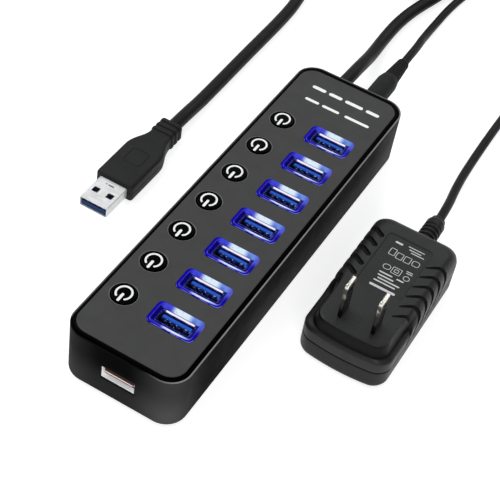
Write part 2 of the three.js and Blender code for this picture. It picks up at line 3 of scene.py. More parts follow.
import bmesh
import bpy
from mathutils import Matrix, Vector


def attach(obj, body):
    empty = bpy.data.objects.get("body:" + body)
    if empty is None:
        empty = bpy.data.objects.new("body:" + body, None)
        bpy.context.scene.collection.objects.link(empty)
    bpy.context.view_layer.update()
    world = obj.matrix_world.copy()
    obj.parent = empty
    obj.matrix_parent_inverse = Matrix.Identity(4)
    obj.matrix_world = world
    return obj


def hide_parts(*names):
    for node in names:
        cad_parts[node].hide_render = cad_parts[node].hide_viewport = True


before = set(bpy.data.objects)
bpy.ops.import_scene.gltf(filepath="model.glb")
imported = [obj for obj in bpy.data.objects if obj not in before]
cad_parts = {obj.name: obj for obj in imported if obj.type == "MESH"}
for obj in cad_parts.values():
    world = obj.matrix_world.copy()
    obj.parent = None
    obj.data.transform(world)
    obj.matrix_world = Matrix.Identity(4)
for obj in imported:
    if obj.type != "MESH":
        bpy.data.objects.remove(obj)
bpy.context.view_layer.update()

MM = 0.001
HUB = "hub"
ROWS = 7
BUTTON_X, PORT_X, FIRST_ROW_Y, ROW_PITCH = -13.2, 7, -61.5, 18


def mm(x, y, z):
    return Vector((x, y, z)) * MM


def row_y(row):
    return FIRST_ROW_Y + row * ROW_PITCH


# Camera: where the photograph was taken from.

CAMERA_PLACE = mm(133.04, -312.78, 363.01)
CAMERA_RIGHT = Vector((0.85759, 0.49941, 0.12298))
CAMERA_DOWN = Vector((0.44174, -0.59272, -0.67346))
CAMERA_FORWARD = Vector((-0.26344, 0.63188, -0.72893))
CAMERA_LENS, CAMERA_SENSOR = 96.93, 36


def make_camera():
    data = bpy.data.cameras.new("camera")
    data.lens, data.sensor_width = CAMERA_LENS, CAMERA_SENSOR
    data.clip_start, data.clip_end = 0.01, 60
    camera = bpy.data.objects.new("camera", data)
    axes = Matrix((CAMERA_RIGHT, -CAMERA_DOWN, -CAMERA_FORWARD)).transposed()
    camera.matrix_world = Matrix.Translation(CAMERA_PLACE) @ axes.to_4x4()
    bpy.context.scene.collection.objects.link(camera)
    bpy.context.scene.camera = camera


make_camera()


# Materials. Each is a node graph over the object's own coordinates.


class Graph:
    """A material's node graph round one Principled shader."""

    def __init__(self, name):
        self.material = bpy.data.materials.new(name)
        self.material.use_nodes = True
        self.tree = self.material.node_tree
        self.shader = self.tree.nodes["Principled BSDF"]
        self.where = self.node("ShaderNodeTexCoord").outputs["Object"]

    def node(self, kind, values=(), **settings):
        made = self.tree.nodes.new(kind)
        for key, value in settings.items():
            setattr(made, key, value)
        for key, value in dict(values).items():
            if isinstance(value, bpy.types.NodeSocket):
                self.tree.links.new(value, made.inputs[key])
            else:
                made.inputs[key].default_value = value
        return made

    def link(self, output, socket):
        self.tree.links.new(output, self.shader.inputs[socket])

    def math(self, operation, a, b=0.0, clamp=False):
        return self.node("ShaderNodeMath", {0: a, 1: b}, operation=operation, use_clamp=clamp).outputs[0]

    def times(self, a, b, clamp=False):
        return self.math("MULTIPLY", a, b, clamp)

    def most(self, a, b):
        return self.math("MAXIMUM", a, b)

    def ramp(self, value, low=0.3, high=0.7, start=0.0, end=1.0):
        values = {"Value": value, "From Min": low, "From Max": high, "To Min": start, "To Max": end}
        return self.node("ShaderNodeMapRange", values, interpolation_type="SMOOTHSTEP").outputs["Result"]

    def span(self, value, low, high, start=0.0, end=1.0):
        """A ramp between two places in millimetres."""
        return self.ramp(value, low * MM, high * MM, start, end)

    def apart(self, value, middle, low, high, start=0.0, end=1.0):
        """A ramp over the distance from a middle, in millimetres."""
        away = self.math("ABSOLUTE", self.math("SUBTRACT", value, middle * MM))
        return self.span(away, low, high, start, end)

    def mix(self, factor, a, b):
        made = self.node("ShaderNodeMix", data_type="RGBA")
        for socket, value in (("Factor_Float", factor), ("A_Color", a), ("B_Color", b)):
            target = next(s for s in made.inputs if s.identifier == socket)
            if isinstance(value, bpy.types.NodeSocket):
                self.tree.links.new(value, target)
            else:
                target.default_value = value
        return next(s for s in made.outputs if s.identifier == "Result_Color")

    def paint(self, factor, a, b, socket="Base Color"):
        """A colour that goes from one to another over the surface."""
        self.link(self.mix(factor, a, b), socket)

    def gloss(self, scale, low, high, start, end):
        """Roughness that differs in patches."""
        self.link(self.ramp(self.noise(scale), low, high, start, end), "Roughness")

    def axes(self):
        return self.node("ShaderNodeSeparateXYZ", {0: self.where}).outputs

    def noise(self, scale, detail=3.0, stretch=None, roughness=0.6):
        where = self.where
        if stretch:
            where = self.node("ShaderNodeMapping", {"Vector": where, "Scale": stretch}).outputs[0]
        values = {"Vector": where, "Scale": scale, "Detail": detail, "Roughness": roughness}
        return self.node("ShaderNodeTexNoise", values).outputs["Fac"]

    def bump(self, height, depth):
        values = {"Height": height, "Distance": depth * MM}
        self.link(self.node("ShaderNodeBump", values).outputs[0], "Normal")

    def done(self, values):
        """Sets the sockets that are the same all over, and gives the material."""
        for socket, value in values.items():
            self.shader.inputs[socket].default_value = value
        return self.material


def grey(value, tint=(1, 1, 1)):
    return (value * tint[0], value * tint[1], value * tint[2], 1)


def shaded(colour, share):
    return (*(min(channel * share, 1) for channel in colour[:3]), 1)


def moulded(name, colour, roughness, specular, vary=0.12, grain=1400, depth=0.012, patch=40):
    """Moulded plastic or rubber: slow colour drift, patchy gloss and a fine spark-eroded grain."""
    graph = Graph(name)
    drift = graph.ramp(graph.noise(patch))
    graph.paint(drift, shaded(colour, 1 - vary), shaded(colour, 1 + vary))
    graph.gloss(patch * 4, 0.25, 0.75, roughness * 0.88, roughness * 1.12)
    graph.bump(graph.noise(grain, 2), depth)
    return graph.done({"Specular IOR Level": specular})


def metal(name, colour, roughness, stretch, metallic=1.0, grain=2600, depth=0.004, painted_glow=0.0):
    """Drawn or stamped metal, with fine lines along one axis."""
    graph = Graph(name)
    lines = graph.noise(grain, 3, stretch)
    graph.paint(graph.ramp(lines), shaded(colour, 0.9), shaded(colour, 1.06))
    graph.gloss(300, 0.3, 0.7, roughness * 0.8, roughness * 1.25)
    graph.bump(lines, depth)
    return graph.done({"Metallic": metallic, "Emission Strength": painted_glow})


def printed(name, colour):
    """Screen-printed ink: opaque, with a slightly uneven film."""
    graph = Graph(name)
    film = graph.ramp(graph.noise(900, 4))
    graph.paint(film, shaded(colour, 0.93), colour)
    graph.bump(graph.noise(3000, 2), 0.003)
    return graph.done({"Roughness": 0.45})


def satin_casing():
    """Satin black plastic with painted light: lighter towards its foot, and painted highlights on its upright
    corners.
    """
    graph = Graph("casing_satin")
    x, y, z = graph.axes()
    # Painted light: lighter towards the foot, and painted highlights on the upright corners, stronger lower
    # down.
    across = graph.math("ADD", graph.span(x, 3, 23), graph.span(x, -6, -22, 0, 0.5))
    ends = graph.math("ADD", graph.span(y, -64, -88), graph.span(y, 50, 84))
    low = graph.span(z, 18, 4)
    foot = graph.times(low, graph.apart(y, -60, 6, 32, 0, 0.24))
    corner_highlight_strength = graph.math("ADD", graph.times(low, 0.12), 0.42)
    corner = graph.times(graph.times(across, ends), corner_highlight_strength)
    painted_light = graph.math("ADD", foot, corner, clamp=True)
    drift = graph.ramp(graph.noise(30, 2), 0.3, 0.7, 0.9, 1.1)
    graph.paint(graph.times(painted_light, drift), grey(0.0015), grey(0.1))
    graph.gloss(160, 0.25, 0.75, 0.4, 0.5)
    graph.bump(graph.noise(3800, 2), 0.008)
    return graph.done({"Specular IOR Level": 0.004})


def painted_edge_highlight():
    """Thin rims with painted highlights: lightest on the side that faces the light, at the far end and on the
    left side, and round the buttons' holes.
    """
    graph = Graph("edge_painted_highlight")
    x, y, _ = graph.axes()
    # Painted highlights: the +X side, the far end and left side, and the rims round the buttons' holes.
    rear = graph.most(graph.span(y, 76, 84), graph.span(x, -21.4, -22.4))
    painted_light = graph.most(graph.span(x, 8, 22.3), graph.times(rear, 0.6))
    column = graph.times(graph.span(x, -18.4, -18.2), graph.span(x, -8.1, -8.3))
    rows = graph.times(graph.span(y, -72, -70), graph.span(y, 60, 58))
    painted_light = graph.most(painted_light, graph.times(column, rows))
    # The painted highlight varies in patches.
    highlight_patches = graph.ramp(graph.noise(120), 0.3, 0.7, 0.85, 1.0)
    graph.paint(graph.times(painted_light, highlight_patches), grey(0.002), grey(0.22))
    graph.bump(graph.noise(2200, 2), 0.004)
    return graph.done({"Roughness": 0.4, "Specular IOR Level": 0.02})


def lit_frame():
    """Tinted light frame that shines blue, darker down its slope, with painted light on it: a lavender line
    round its top edge, lighter blue on its +X side, white across the middle of its far side and a curved
    white line across its near side.
    """
    graph = Graph("light_frame_glow")
    x, y, z = graph.axes()
    cloud = graph.noise(330, 2)
    colour = graph.mix(graph.span(z, 24.4, 24.64), (0.001, 0.0, 0.1, 1), (0.003, 0.001, 0.34, 1))
    # Painted highlight: a lavender line round the top edge, strongest on the near side.
    line = graph.times(graph.span(z, 24.38, 24.5), graph.span(z, 24.68, 24.6))
    line = graph.times(line, graph.span(y, -2.4, -4.2, 0.12, 0.8))
    line = graph.times(line, graph.ramp(cloud, 0.4, 0.62))
    colour = graph.mix(line, colour, (0.3, 0.32, 0.72, 1))
    # Painted light: lighter blue on the +X side, more so towards the far end.
    right = graph.times(graph.span(x, 6.9, 7.5), graph.span(y, -0.5, 2.5, 0, 0.8))
    colour = graph.mix(right, colour, (0.1, 0.12, 0.62, 1))
    # Painted light: white across the middle of the far side.
    tone = graph.mix(graph.span(x, -6, 5), (0.05, 0.06, 0.6, 1), (0.15, 0.27, 0.68, 1))
    tone = graph.mix(graph.apart(x, 0.2, 4.4, 1.9), tone, (0.72, 0.86, 0.9, 1))
    far = graph.times(graph.span(y, 2.95, 3.4), graph.span(y, 5.12, 4.9))
    far = graph.times(far, graph.ramp(cloud, 0.34, 0.52, 0.55, 1.0))
    colour = graph.mix(graph.times(far, graph.apart(x, 0, 8.3, 6.4)), colour, tone)
    # Painted light: a curved white line across the near side.
    bent = graph.math("SUBTRACT", y, graph.times(graph.times(x, x), 9.0))
    near = graph.times(graph.span(bent, -3.5, -3.8), graph.span(bent, -5, -4.8))
    near = graph.times(near, graph.apart(x, 0, 8, 5.6))
    near = graph.times(near, graph.ramp(cloud, 0.32, 0.5, 0.6, 1.0))
    near_painted_light_colour = graph.mix(graph.span(x, -5, 5), (0.03, 0.03, 0.45, 1), (0.4, 0.48, 0.9, 1))
    near_painted_light_colour = graph.mix(graph.apart(x, 1.2, 4.6, 2.2), near_painted_light_colour, (0.72, 0.8, 0.97, 1))
    graph.paint(near, colour, near_painted_light_colour, socket="Emission Color")
    graph.bump(graph.noise(500, 2), 0.01)
    return graph.done({
        "Emission Strength": 1.0, "Base Color": (0.002, 0.0, 0.06, 1), "Roughness": 0.12,
        "Specular IOR Level": 0.03,
    })


def lit_shell():
    """Socket steel with painted light: tinted navy, with the diode's light painted along the top of its far
    wall and a few painted glints near its mouth.
    """
    graph = Graph("socket_steel")
    x, y, z = graph.axes()
    lines = graph.noise(2600, 3, (0.1, 1, 1))
    # Painted light: the steel is tinted navy by the diode's blue light.
    graph.paint(lines, (0.01, 0.01, 0.06, 1), (0.03, 0.03, 0.16, 1))
    graph.gloss(300, 0.3, 0.7, 0.2, 0.35)
    # Painted light along the top of the far wall, and painted glints near the mouth.
    wall = graph.times(graph.span(y, 2.3, 2.45), graph.span(z, 23.15, 23.45))
    painted_glow = graph.times(wall, graph.apart(x, 0.3, 5.9, 5.2))
    painted_glints = graph.ramp(graph.noise(800, 2), 0.53, 0.6, 0.02, 0.6)
    graph.paint(painted_glow, (0.06, 0.08, 0.55, 1), (0.93, 0.86, 0.92, 1), socket="Emission Color")
    graph.link(graph.most(painted_glow, graph.times(painted_glints, graph.span(z, 22.2, 23.8))), "Emission Strength")
    return graph.done({"Metallic": 0.5, "Specular IOR Level": 0.2})


def lit_tongue():
    """Blue tongue of a socket with painted light: shining at its tip, and navy below with a few shining
    specks.
    """
    graph = Graph("tongue_blue")
    _, y, z = graph.axes()
    # Painted light: the tip shines, and a few specks shine below it.
    tip = graph.times(graph.span(z, 22.0, 22.6), graph.span(y, 0.25, 1.1, 0.02, 1.0))
    specks = graph.times(graph.ramp(graph.noise(1100, 2), 0.61, 0.66), graph.math("SUBTRACT", 1.0, tip))
    colour = graph.mix(graph.noise(600, 2), (0.008, 0.06, 0.4, 1), (0.016, 0.12, 0.62, 1))
    graph.paint(graph.noise(900, 2), (0.001, 0.003, 0.03, 1), (0.003, 0.012, 0.09, 1))
    graph.paint(specks, colour, (0.3, 0.4, 0.9, 1), socket="Emission Color")
    graph.link(graph.most(tip, specks), "Emission Strength")
    graph.bump(graph.noise(2200, 2), 0.006)
    return graph.done({"Roughness": 0.5, "Specular IOR Level": 0.1})


def adapter_front_plastic():
    """The adapter's textured plastic: painted light makes it paler on its flat top, and painted shade makes
    it darkest on the step round it.
    """
    graph = Graph("adapter_front_textured")
    _, y, z = graph.axes()
    # Painted light: the flat top is lighter than the walls below it.
    tone = graph.mix(graph.span(z, 19.3, 19.75), grey(0.008, COOL), grey(0.013, COOL))
    # Painted shade on the steep wall of the step round the top.
    step = graph.times(graph.span(z, 13.9, 14.5), graph.span(y, -3, -10))
    wall = graph.times(step, graph.span(z, 19.6, 19.1))
    dark = graph.math("SUBTRACT", 1.0, graph.times(wall, 0.82))
    cloud = graph.ramp(graph.noise(40), 0.3, 0.7, 0.85, 1.15)
    graph.paint(graph.times(dark, cloud, clamp=True), grey(0.0003), tone)
    graph.link(graph.ramp(wall, 0, 1, 0.25, 0.1), "Specular IOR Level")
    graph.gloss(160, 0.25, 0.75, 0.4, 0.5)
    graph.bump(graph.noise(1500, 2), 0.06)
    return graph.material


def plated_blade():
    """Nickel plate with a painted reflection: bright at the tip and in patches lower down, dark towards the
    root, where it mirrors the moulding.
    """
    graph = Graph("blade_nickel")
    _, _, z = graph.axes()
    lines = graph.noise(2600, 3, (1, 1, 0.08))
    # Painted reflection: bright at the tip and in patches, dark below.
    patch = graph.ramp(graph.noise(260, 2), 0.48, 0.62, 0.04, 0.45)
    rise = graph.most(graph.span(z, 33.6, 35), graph.times(graph.span(z, 28.5, 31.5), patch))
    bright = graph.mix(lines, (0.6, 0.58, 0.5, 1), (0.95, 0.93, 0.85, 1))
    graph.paint(rise, (0.018, 0.017, 0.014, 1), bright)
    graph.gloss(300, 0.3, 0.7, 0.16, 0.3)
    graph.bump(lines, 0.004)
    return graph.done({"Metallic": 0.9, "Specular IOR Level": 0.3})


COOL = (0.97, 1.0, 1.0)
casing_plastic = satin_casing()
edge_plastic = painted_edge_highlight()
gloss_black = moulded("plate_gloss", grey(0.0004), 0.3, 0.01, vary=0.3, grain=500, depth=0.002)
face_grey = moulded("face_matt", grey(0.034), 0.6, 0.3, vary=0.03, grain=3800, depth=0.006)
button_black = moulded("button_gloss", grey(0.0005), 0.3, 0.02, vary=0.3, grain=500, depth=0.002)
white_ink = printed("ink_white", grey(0.86))
label_ink = printed("ink_grey", grey(0.55))
rubber = moulded("rubber_black", grey(0.006), 0.75, 0.15, vary=0.2, grain=1100, depth=0.03)
cord_skin = moulded("cord_sheath", grey(0.0035), 0.5, 0.17, vary=0.2, grain=700, depth=0.02, patch=25)
grip_plastic = moulded("grip_matt", grey(0.009, COOL), 0.6, 0.2, vary=0.15, grain=1300, depth=0.05)
adapter_plastic = moulded("adapter_textured", grey(0.007, COOL), 0.45, 0.2, vary=0.16, grain=1500, depth=0.06)
stepped_plastic = adapter_front_plastic()
# Darker than the adapter's body: painted shade inside its grooves.
groove_plastic = moulded("groove_textured", grey(0.0045, COOL), 0.6, 0.1, vary=0.2, grain=1500, depth=0.06)
steel = metal("plug_steel", grey(0.72), 0.38, (0.25, 1, 1), metallic=0.5, grain=900, depth=0.002)
# Near white and shining a little: painted light inside the charging socket.
charge_steel = metal("charge_steel", grey(0.97), 0.45, (1, 0.2, 1), metallic=0.0, grain=900, painted_glow=0.14)
blade_metal = plated_blade()
contact_gold = metal("contact_gold", (0.75, 0.6, 0.3, 1), 0.25, (1, 1, 0.1))
insert_blue = moulded("insert_blue", (0.007, 0.028, 0.1, 1), 0.4, 0.1, grain=1500)
insert_red = moulded("insert_red", (0.026, 0.005, 0.0035, 1), 0.45, 0.05, grain=1500)
insert_pink = moulded("insert_edge", (0.66, 0.5, 0.48, 1), 0.45, 0.2, grain=1500)
insert_dark = moulded("insert_dark", grey(0.006), 0.5, 0.2, grain=1500)
board_green = moulded("board_resist", (0.01, 0.08, 0.03, 1), 0.35, 0.5, vary=0.3, grain=1200, patch=200)
tie_fabric = moulded("tie_strap", grey(0.01), 0.8, 0.2, vary=0.3, grain=2500, depth=0.05)
glow_frame = lit_frame()
glow_shell = lit_shell()
glow_tongue = lit_tongue()
# Contacts tinted blue: painted light from the sockets' diodes.
contact_lit = metal("contact_lit", (0.1, 0.14, 0.4, 1), 0.3, (1, 1, 0.1), metallic=0.6)


# Mesh helpers. Loops are lists of points in millimetres, anticlockwise, so that an inset goes inwards.


def arc(radius, angles, x=0.0, y=0.0):
    return [(x + radius * math.cos(a), y + radius * math.sin(a)) for a in angles]


def circle(radius, count, x=0.0, y=0.0):
    return arc(radius, [2 * math.pi * i / count for i in range(count)], x, y)


def rounded(width, length, corner, steps, x=0.0, y=0.0):
    """A rectangle with rounded corners, each of some steps."""
    points = []
    for quarter, (sx, sy) in enumerate(((1, -1), (1, 1), (-1, 1), (-1, -1))):
        angles = [math.pi / 2 * (quarter - 1 + i / steps) for i in range(steps + 1)]
        points += arc(corner, angles, x + sx * (width / 2 - corner), y + sy * (length / 2 - corner))
    return points


def at_height(loop, z):
    return [(x, y, z) for x, y in loop]


def loft(bm, rings, caps=(True, True), bands=None):
    """Skins a row of rings that have the same number of points. bands gives each band's material."""
    rows = [[bm.verts.new(mm(*point)) for point in ring] for ring in rings]
    for number, (lower, upper) in enumerate(zip(rows, rows[1:])):
        for i in range(len(lower)):
            j = (i + 1) % len(lower)
            face = bm.faces.new((lower[i], lower[j], upper[j], upper[i]))
            face.material_index = bands[number] if bands else 0
    if caps[0]:
        bm.faces.new(rows[0][::-1])
    if caps[1]:
        bm.faces.new(rows[-1]).material_index = bands[-1] if bands else 0
    return rows


def fill(bm, *rows):
    """A flat face between an outline's row of vertices and the rows of the holes in it."""
    edges = []
    for row in rows:
        for a, b in zip(row, row[1:] + row[:1]):
            edges.append(bm.edges.get((a, b)) or bm.edges.new((a, b)))
    bmesh.ops.triangle_fill(bm, use_beauty=True, edges=edges)


def closed_loft(bm, rings):
    """Rings skinned all the way round, the last to the first."""
    loft(bm, rings + rings[:1], (False, False))
    bmesh.ops.remove_doubles(bm, verts=bm.verts, dist=0.001 * MM)


def lathe(bm, profile, segments, along="z", place=(0, 0, 0)):
    """Turns a profile of (radius, distance along the axis) that starts and ends on the axis."""
    rings = []
    for radius, distance in profile:
        ring = [(a, b, distance) for a, b in circle(max(radius, 0.002), segments)]
        if along == "y":
            ring = [(a, c, b) for a, b, c in ring]
        rings.append([(a + place[0], b + place[1], c + place[2]) for a, b, c in ring])
    loft(bm, rings)


def block(bm, low, high, corner, material=0):
    """A box with its upright edges rounded and its top and bottom edges chamfered."""
    width, length = high[0] - low[0], high[1] - low[1]
    middle = ((low[0] + high[0]) / 2, (low[1] + high[1]) / 2)
    cut = corner / 2
    rings = []
    for i, z in ((cut, low[2]), (0, low[2] + cut), (0, high[2] - cut), (cut, high[2])):
        outline = rounded(width - 2 * i, length - 2 * i, max(corner - i, 0.01), 3, *middle)
        rings.append(at_height(outline, z))
    loft(bm, rings, bands=[material] * 3)


def raw(name, bm, *materials):
    """An object from a bmesh, in the scene and riding on nothing yet."""
    bmesh.ops.recalc_face_normals(bm, faces=bm.faces)
    mesh = bpy.data.meshes.new(name)
    bm.to_mesh(mesh)
    bm.free()
    for material in materials:
        mesh.materials.append(material)
    made = bpy.data.objects.new(name, mesh)
    bpy.context.scene.collection.objects.link(made)
    return made


def cut_block(low, high, corner):
    bm = bmesh.new()
    block(bm, low, high, corner)
    return raw("cut", bm)


def carve(piece, *cutters):
    """Cuts closed shapes out of a piece, and removes them. A cutter's own material lines its cut."""
    for cutter in cutters:
        step = piece.modifiers.new("cut", "BOOLEAN")
        step.material_mode = "TRANSFER"
        step.operation, step.solver, step.object = "DIFFERENCE", "EXACT", cutter
    graph = bpy.context.evaluated_depsgraph_get()
    cut = bpy.data.meshes.new_from_object(piece.evaluated_get(graph))
    piece.modifiers.clear()
    piece.data = cut
    for cutter in cutters:
        bpy.data.objects.remove(cutter)


def settle(piece, slot, replaces=(), body=HUB, place=(0, 0, 0), sharp=30):
    """Shades a finished piece smooth between its sharp edges, and puts it on its body."""
    bm = bmesh.new()
    bm.from_mesh(piece.data)
    for face in bm.faces:
        face.smooth = True
    for edge in bm.edges:
        edge.smooth = len(edge.link_faces) != 2 or edge.calc_face_angle() < math.radians(sharp)
    bm.to_mesh(piece.data)
    bm.free()
    normals = piece.modifiers.new("normals", "WEIGHTED_NORMAL")
    normals.keep_sharp = True
    piece.location = mm(*place)
    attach(piece, body)
    if replaces:
        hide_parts(*replaces)
    return piece


def stand_in(node, slot, bm, *materials, **settings):
    """A finished piece in the place of the CAD node of the same name."""
    return settle(raw(node, bm, *materials), slot, [node], **settings)


# More loops and solids.


def eased(value, limits):
    """0 below the first limit and 1 above the second, with a smooth step between them."""
    share = min(max((value - limits[0]) / (limits[1] - limits[0]), 0), 1)
    return 0.5 - 0.5 * math.cos(math.pi * share)


def inset(loop, distance):
    """A loop moved inwards by a distance, each point along the bisector of its two sides."""
    moved = []
    for before, point, after in zip(loop[-1:] + loop[:-1], loop, loop[1:] + loop[:1]):
        first = Vector((point[0] - before[0], point[1] - before[1])).normalized()
        second = Vector((after[0] - point[0], after[1] - point[1])).normalized()
        across = Vector((-first.y - second.y, first.x + second.x)).normalized()
        share = distance / max(across.dot(Vector((-first.y, first.x))), 0.4)
        moved.append((point[0] + across.x * share, point[1] + across.y * share))
    return moved


def at_depth(loop, y):
    """A loop drawn in X and Z, placed at a distance along Y."""
    return [(x, y, z) for x, z in loop]


def stack(loop, levels, put=at_height):
    """Rings of a loop at (inset, height) levels, or at (inset, depth) ones with at_depth."""
    return [put(inset(loop, distance) if distance else loop, place) for distance, place in levels]


def perforated(bm, outer, holes, bands=None, hole_bands=None):
    """A panel between an outer row of rings and the rows of rings of its holes, bottom to top."""
    rows = loft(bm, outer, (False, False), bands)
    sides = [loft(bm, rings, (False, False), hole_bands) for rings in holes]
    fill(bm, rows[0], *[side[0] for side in sides])
    fill(bm, rows[-1], *[side[-1] for side in sides])


def tube(bm, points, radius, sides):
    """A round rod along a few points, with rounded ends. The radius may differ from point to point."""
    path = [Vector(point) for point in points]
    radii = [radius] * len(path) if isinstance(radius, (int, float)) else radius
    dome = ((0.5, 0.87), (0.87, 0.5), (1, 0.02))
    first, last = (path[0] - path[1]).normalized(), (path[-1] - path[-2]).normalized()
    places = [(path[0] + first * radii[0] * s, radii[0] * r) for s, r in reversed(dome)]
    places += zip(path, radii)
    places += [(path[-1] + last * radii[-1] * s, radii[-1] * r) for s, r in dome]
    rings, across = [], None
    for i, (place, size) in enumerate(places):
        ahead = (places[min(i + 1, len(places) - 1)][0] - places[max(i - 1, 0)][0]).normalized()
        if across is None:
            across = ahead.orthogonal().normalized()
        across = (across - ahead * across.dot(ahead)).normalized()
        beside = ahead.cross(across)
        rings.append([tuple(place + across * a + beside * b) for a, b in circle(size, sides)])
    loft(bm, rings)


def pill(bm, x0, x1, y, thickness, bottom, top):
    """A printed bar with round ends."""
    outline = rounded(x1 - x0, thickness, thickness / 2 - 0.001, 6, (x0 + x1) / 2, y)
    loft(bm, stack(outline, [(0, bottom), (0, top - 0.01), (0.02, top)]))


# Casing, base cover, feet and screws.

WIDTH, LENGTH, CORNER = 45.2, 168.4, 8
WALL, LIP, LIP_TOP = 1.8, 0.55, 23.5
DECK_TOP, DECK_BOTTOM = 22.4, 20.9
PLATE_TOP, FACE_TOP = 24.1, 24.4
BUTTON_HOLE = 4.8
OPENING = (17.9, 10.55, 2.0)
EXIT_Z, CABLE_X, POWER_X = 12.8, -9.1, 5.2
CHARGE_X, CHARGE_Z, MOUTH_Y = 0.35, 12.35, -84.2
CORNER_STEPS = 14
SCREWS = [(-14.5, -56), (14.5, -56), (-14.5, 56), (14.5, 56)]
FEET = [(-14, -73), (14, -73), (-14, 73), (14, 73)]
FOOT = [(0, 0.12), (2.6, 0.12), (2.8, 0), (3.5, 0), (3.8, 0.1), (3.97, 0.3), (4, 0.5), (4, 0.8), (0, 0.8)]


def openings(button_levels, frame_levels):
    """The rings of the fourteen openings in the face, at (growth, height) levels."""
    width, length, corner = OPENING
    holes = []
    for y in map(row_y, range(ROWS)):
        holes.append([at_height(circle(BUTTON_HOLE + grow, 40, BUTTON_X, y), z) for grow, z in button_levels])
        sides = [(width + 2 * grow, length + 2 * grow, corner + grow, z) for grow, z in frame_levels]
        holes.append([at_height(rounded(*size, 6, PORT_X, y), z) for *size, z in sides])
    return holes


def make_casing():
    bm = bmesh.new()
    outline = rounded(WIDTH, LENGTH, CORNER, CORNER_STEPS)
    levels = [
        (WALL, DECK_BOTTOM), (WALL, 1.1), (WALL - 0.3, 0.8), (0.9, 0.8), (0.5, 0.88), (0.2, 1.12),
        (0.04, 1.5), (0, 2), (0, LIP_TOP - 0.14), (0.04, LIP_TOP - 0.04), (0.13, LIP_TOP),
        (LIP - 0.08, LIP_TOP), (LIP, LIP_TOP - 0.08), (LIP, DECK_TOP),
    ]
    rings = stack(outline, levels)
    # The lip's top takes the edge material, with its painted highlight.
    lip_bands = [0] * 8 + [1] * 4 + [0]
    flat = [(0, DECK_BOTTOM), (0, DECK_TOP)]
    perforated(bm, rings, openings(flat, flat), lip_bands)
    casing = raw("casing", bm, casing_plastic, edge_plastic)
    bm = bmesh.new()
    mouth = rounded(13.5, 6.5, 0.7, 4, CHARGE_X, CHARGE_Z - 0.25)
    loft(bm, [at_depth(mouth, MOUTH_Y - 1), at_depth(mouth, MOUTH_Y + 4)])
    cutters = [raw("cut", bm)]
    for radius, x in ((3.5, CABLE_X), (3.3, POWER_X)):
        bm = bmesh.new()
        lathe(bm, [(0, 80), (radius, 80), (radius, 86), (0, 86)], 40, "y", (x, 0, EXIT_Z))
        cutters.append(raw("cut", bm))
    carve(casing, *cutters)
    settle(casing, "casing", ["casing"])


def make_base():
    bm = bmesh.new()
    outline = rounded(41.5, 164.7, 6.15, CORNER_STEPS)
    rows = loft(bm, stack(outline, [(0.2, 2.6), (0, 2.5), (0, 1), (0.2, 0.8)]), (True, False))
    mouths = []
    for x, y in SCREWS:
        well = ((2.75, 0.8), (2.6, 0.95), (2.6, 1.8))
        rings = [at_height(circle(radius, 32, x, y), z) for radius, z in well]
        mouths.append(loft(bm, rings, (False, True))[0])
    fill(bm, rows[-1], *mouths)
    for x, y in SCREWS:
        post = [(0, 2.55), (3, 2.55), (3, 7.7), (2.9, 7.8), (0, 7.8)]
        lathe(bm, post, 24, "z", (x, y, 0))
    stand_in("base_cover", "casing", bm, casing_plastic)
    bm = bmesh.new()
    for x, y in SCREWS:
        head = [(0, 1.75), (2.2, 1.75), (2.2, 1.45), (2.0, 1.22), (1.5, 1.1), (0, 1.05)]
        lathe(bm, head, 32, "z", (x, y, 0))
    screws = raw("base_screws", bm, steel)
    slots = []
    for x, y in SCREWS:
        for a, b in ((1.3, 0.25), (0.25, 1.3)):
            slots.append(cut_block((x - a, y - b, 0.5), (x + a, y + b, 1.35), 0.05))
    carve(screws, *slots)
    settle(screws, "socket_shell")
    for number, (x, y) in enumerate(FEET):
        bm = bmesh.new()
        lathe(bm, FOOT, 40)
        stand_in(f"foot_{number + 1}", "rubber", bm, rubber, place=(x, y, 0))


# Face: glossy plate, printed matt sheet.

PRINT_TOP = FACE_TOP + 0.03
FIRST_LINE = [(-13.3, -7.4), (-6.0, -0.2), (1.2, 8.9), (10.3, 16.0)]
SECOND_LINE = [(-12.4, -6.3), (-4.9, 2.5), (5.0, 15.5)]


def make_face():
    bm = bmesh.new()
    levels = [(0, DECK_TOP), (0, 23.2)]
    for i in range(1, 7):
        turn = math.pi / 2 * i / 6
        levels.append((1.4 * (1 - math.cos(turn)), 23.2 + 0.9 * math.sin(turn)))
    flat = [(0, DECK_TOP), (0, PLATE_TOP)]
    perforated(bm, stack(rounded(44, 167.2, 7.4, CORNER_STEPS), levels), openings(flat, flat))
    stand_in("top_plate", "top_plate", bm, gloss_black)

    bm = bmesh.new()
    outline = rounded(41.2, 163, 6, CORNER_STEPS, 0, -0.7)
    outer = stack(outline, [(0.04, PLATE_TOP), (0, FACE_TOP - 0.12), (0.16, FACE_TOP)])
    button_levels = [(0, PLATE_TOP), (0, PLATE_TOP + 0.12), (0.12, FACE_TOP - 0.02), (0.24, FACE_TOP)]
    frame_levels = [(0, PLATE_TOP), (0, FACE_TOP - 0.1), (0.05, FACE_TOP - 0.03), (0.1, FACE_TOP)]
    # The rims of the holes take the edge material, with its painted highlight.
    perforated(bm, outer, openings(button_levels, frame_levels), [0, 0], [0, 1, 1])
    stand_in("face_sheet", "face_sheet", bm, face_grey, edge_plastic)

    bm = bmesh.new()
    for line, y, thickness in ((FIRST_LINE, 71.4, 1.7), (SECOND_LINE, 63.4, 1.4)):
        for x0, x1 in line:
            pill(bm, x0, x1, y, thickness, FACE_TOP - 0.05, PRINT_TOP)
    settle(raw("face_print", bm, white_ink), "face_sheet")


# Light frames, sockets and buttons, each made once for every row.

FRAME_TOP = FACE_TOP + 0.3


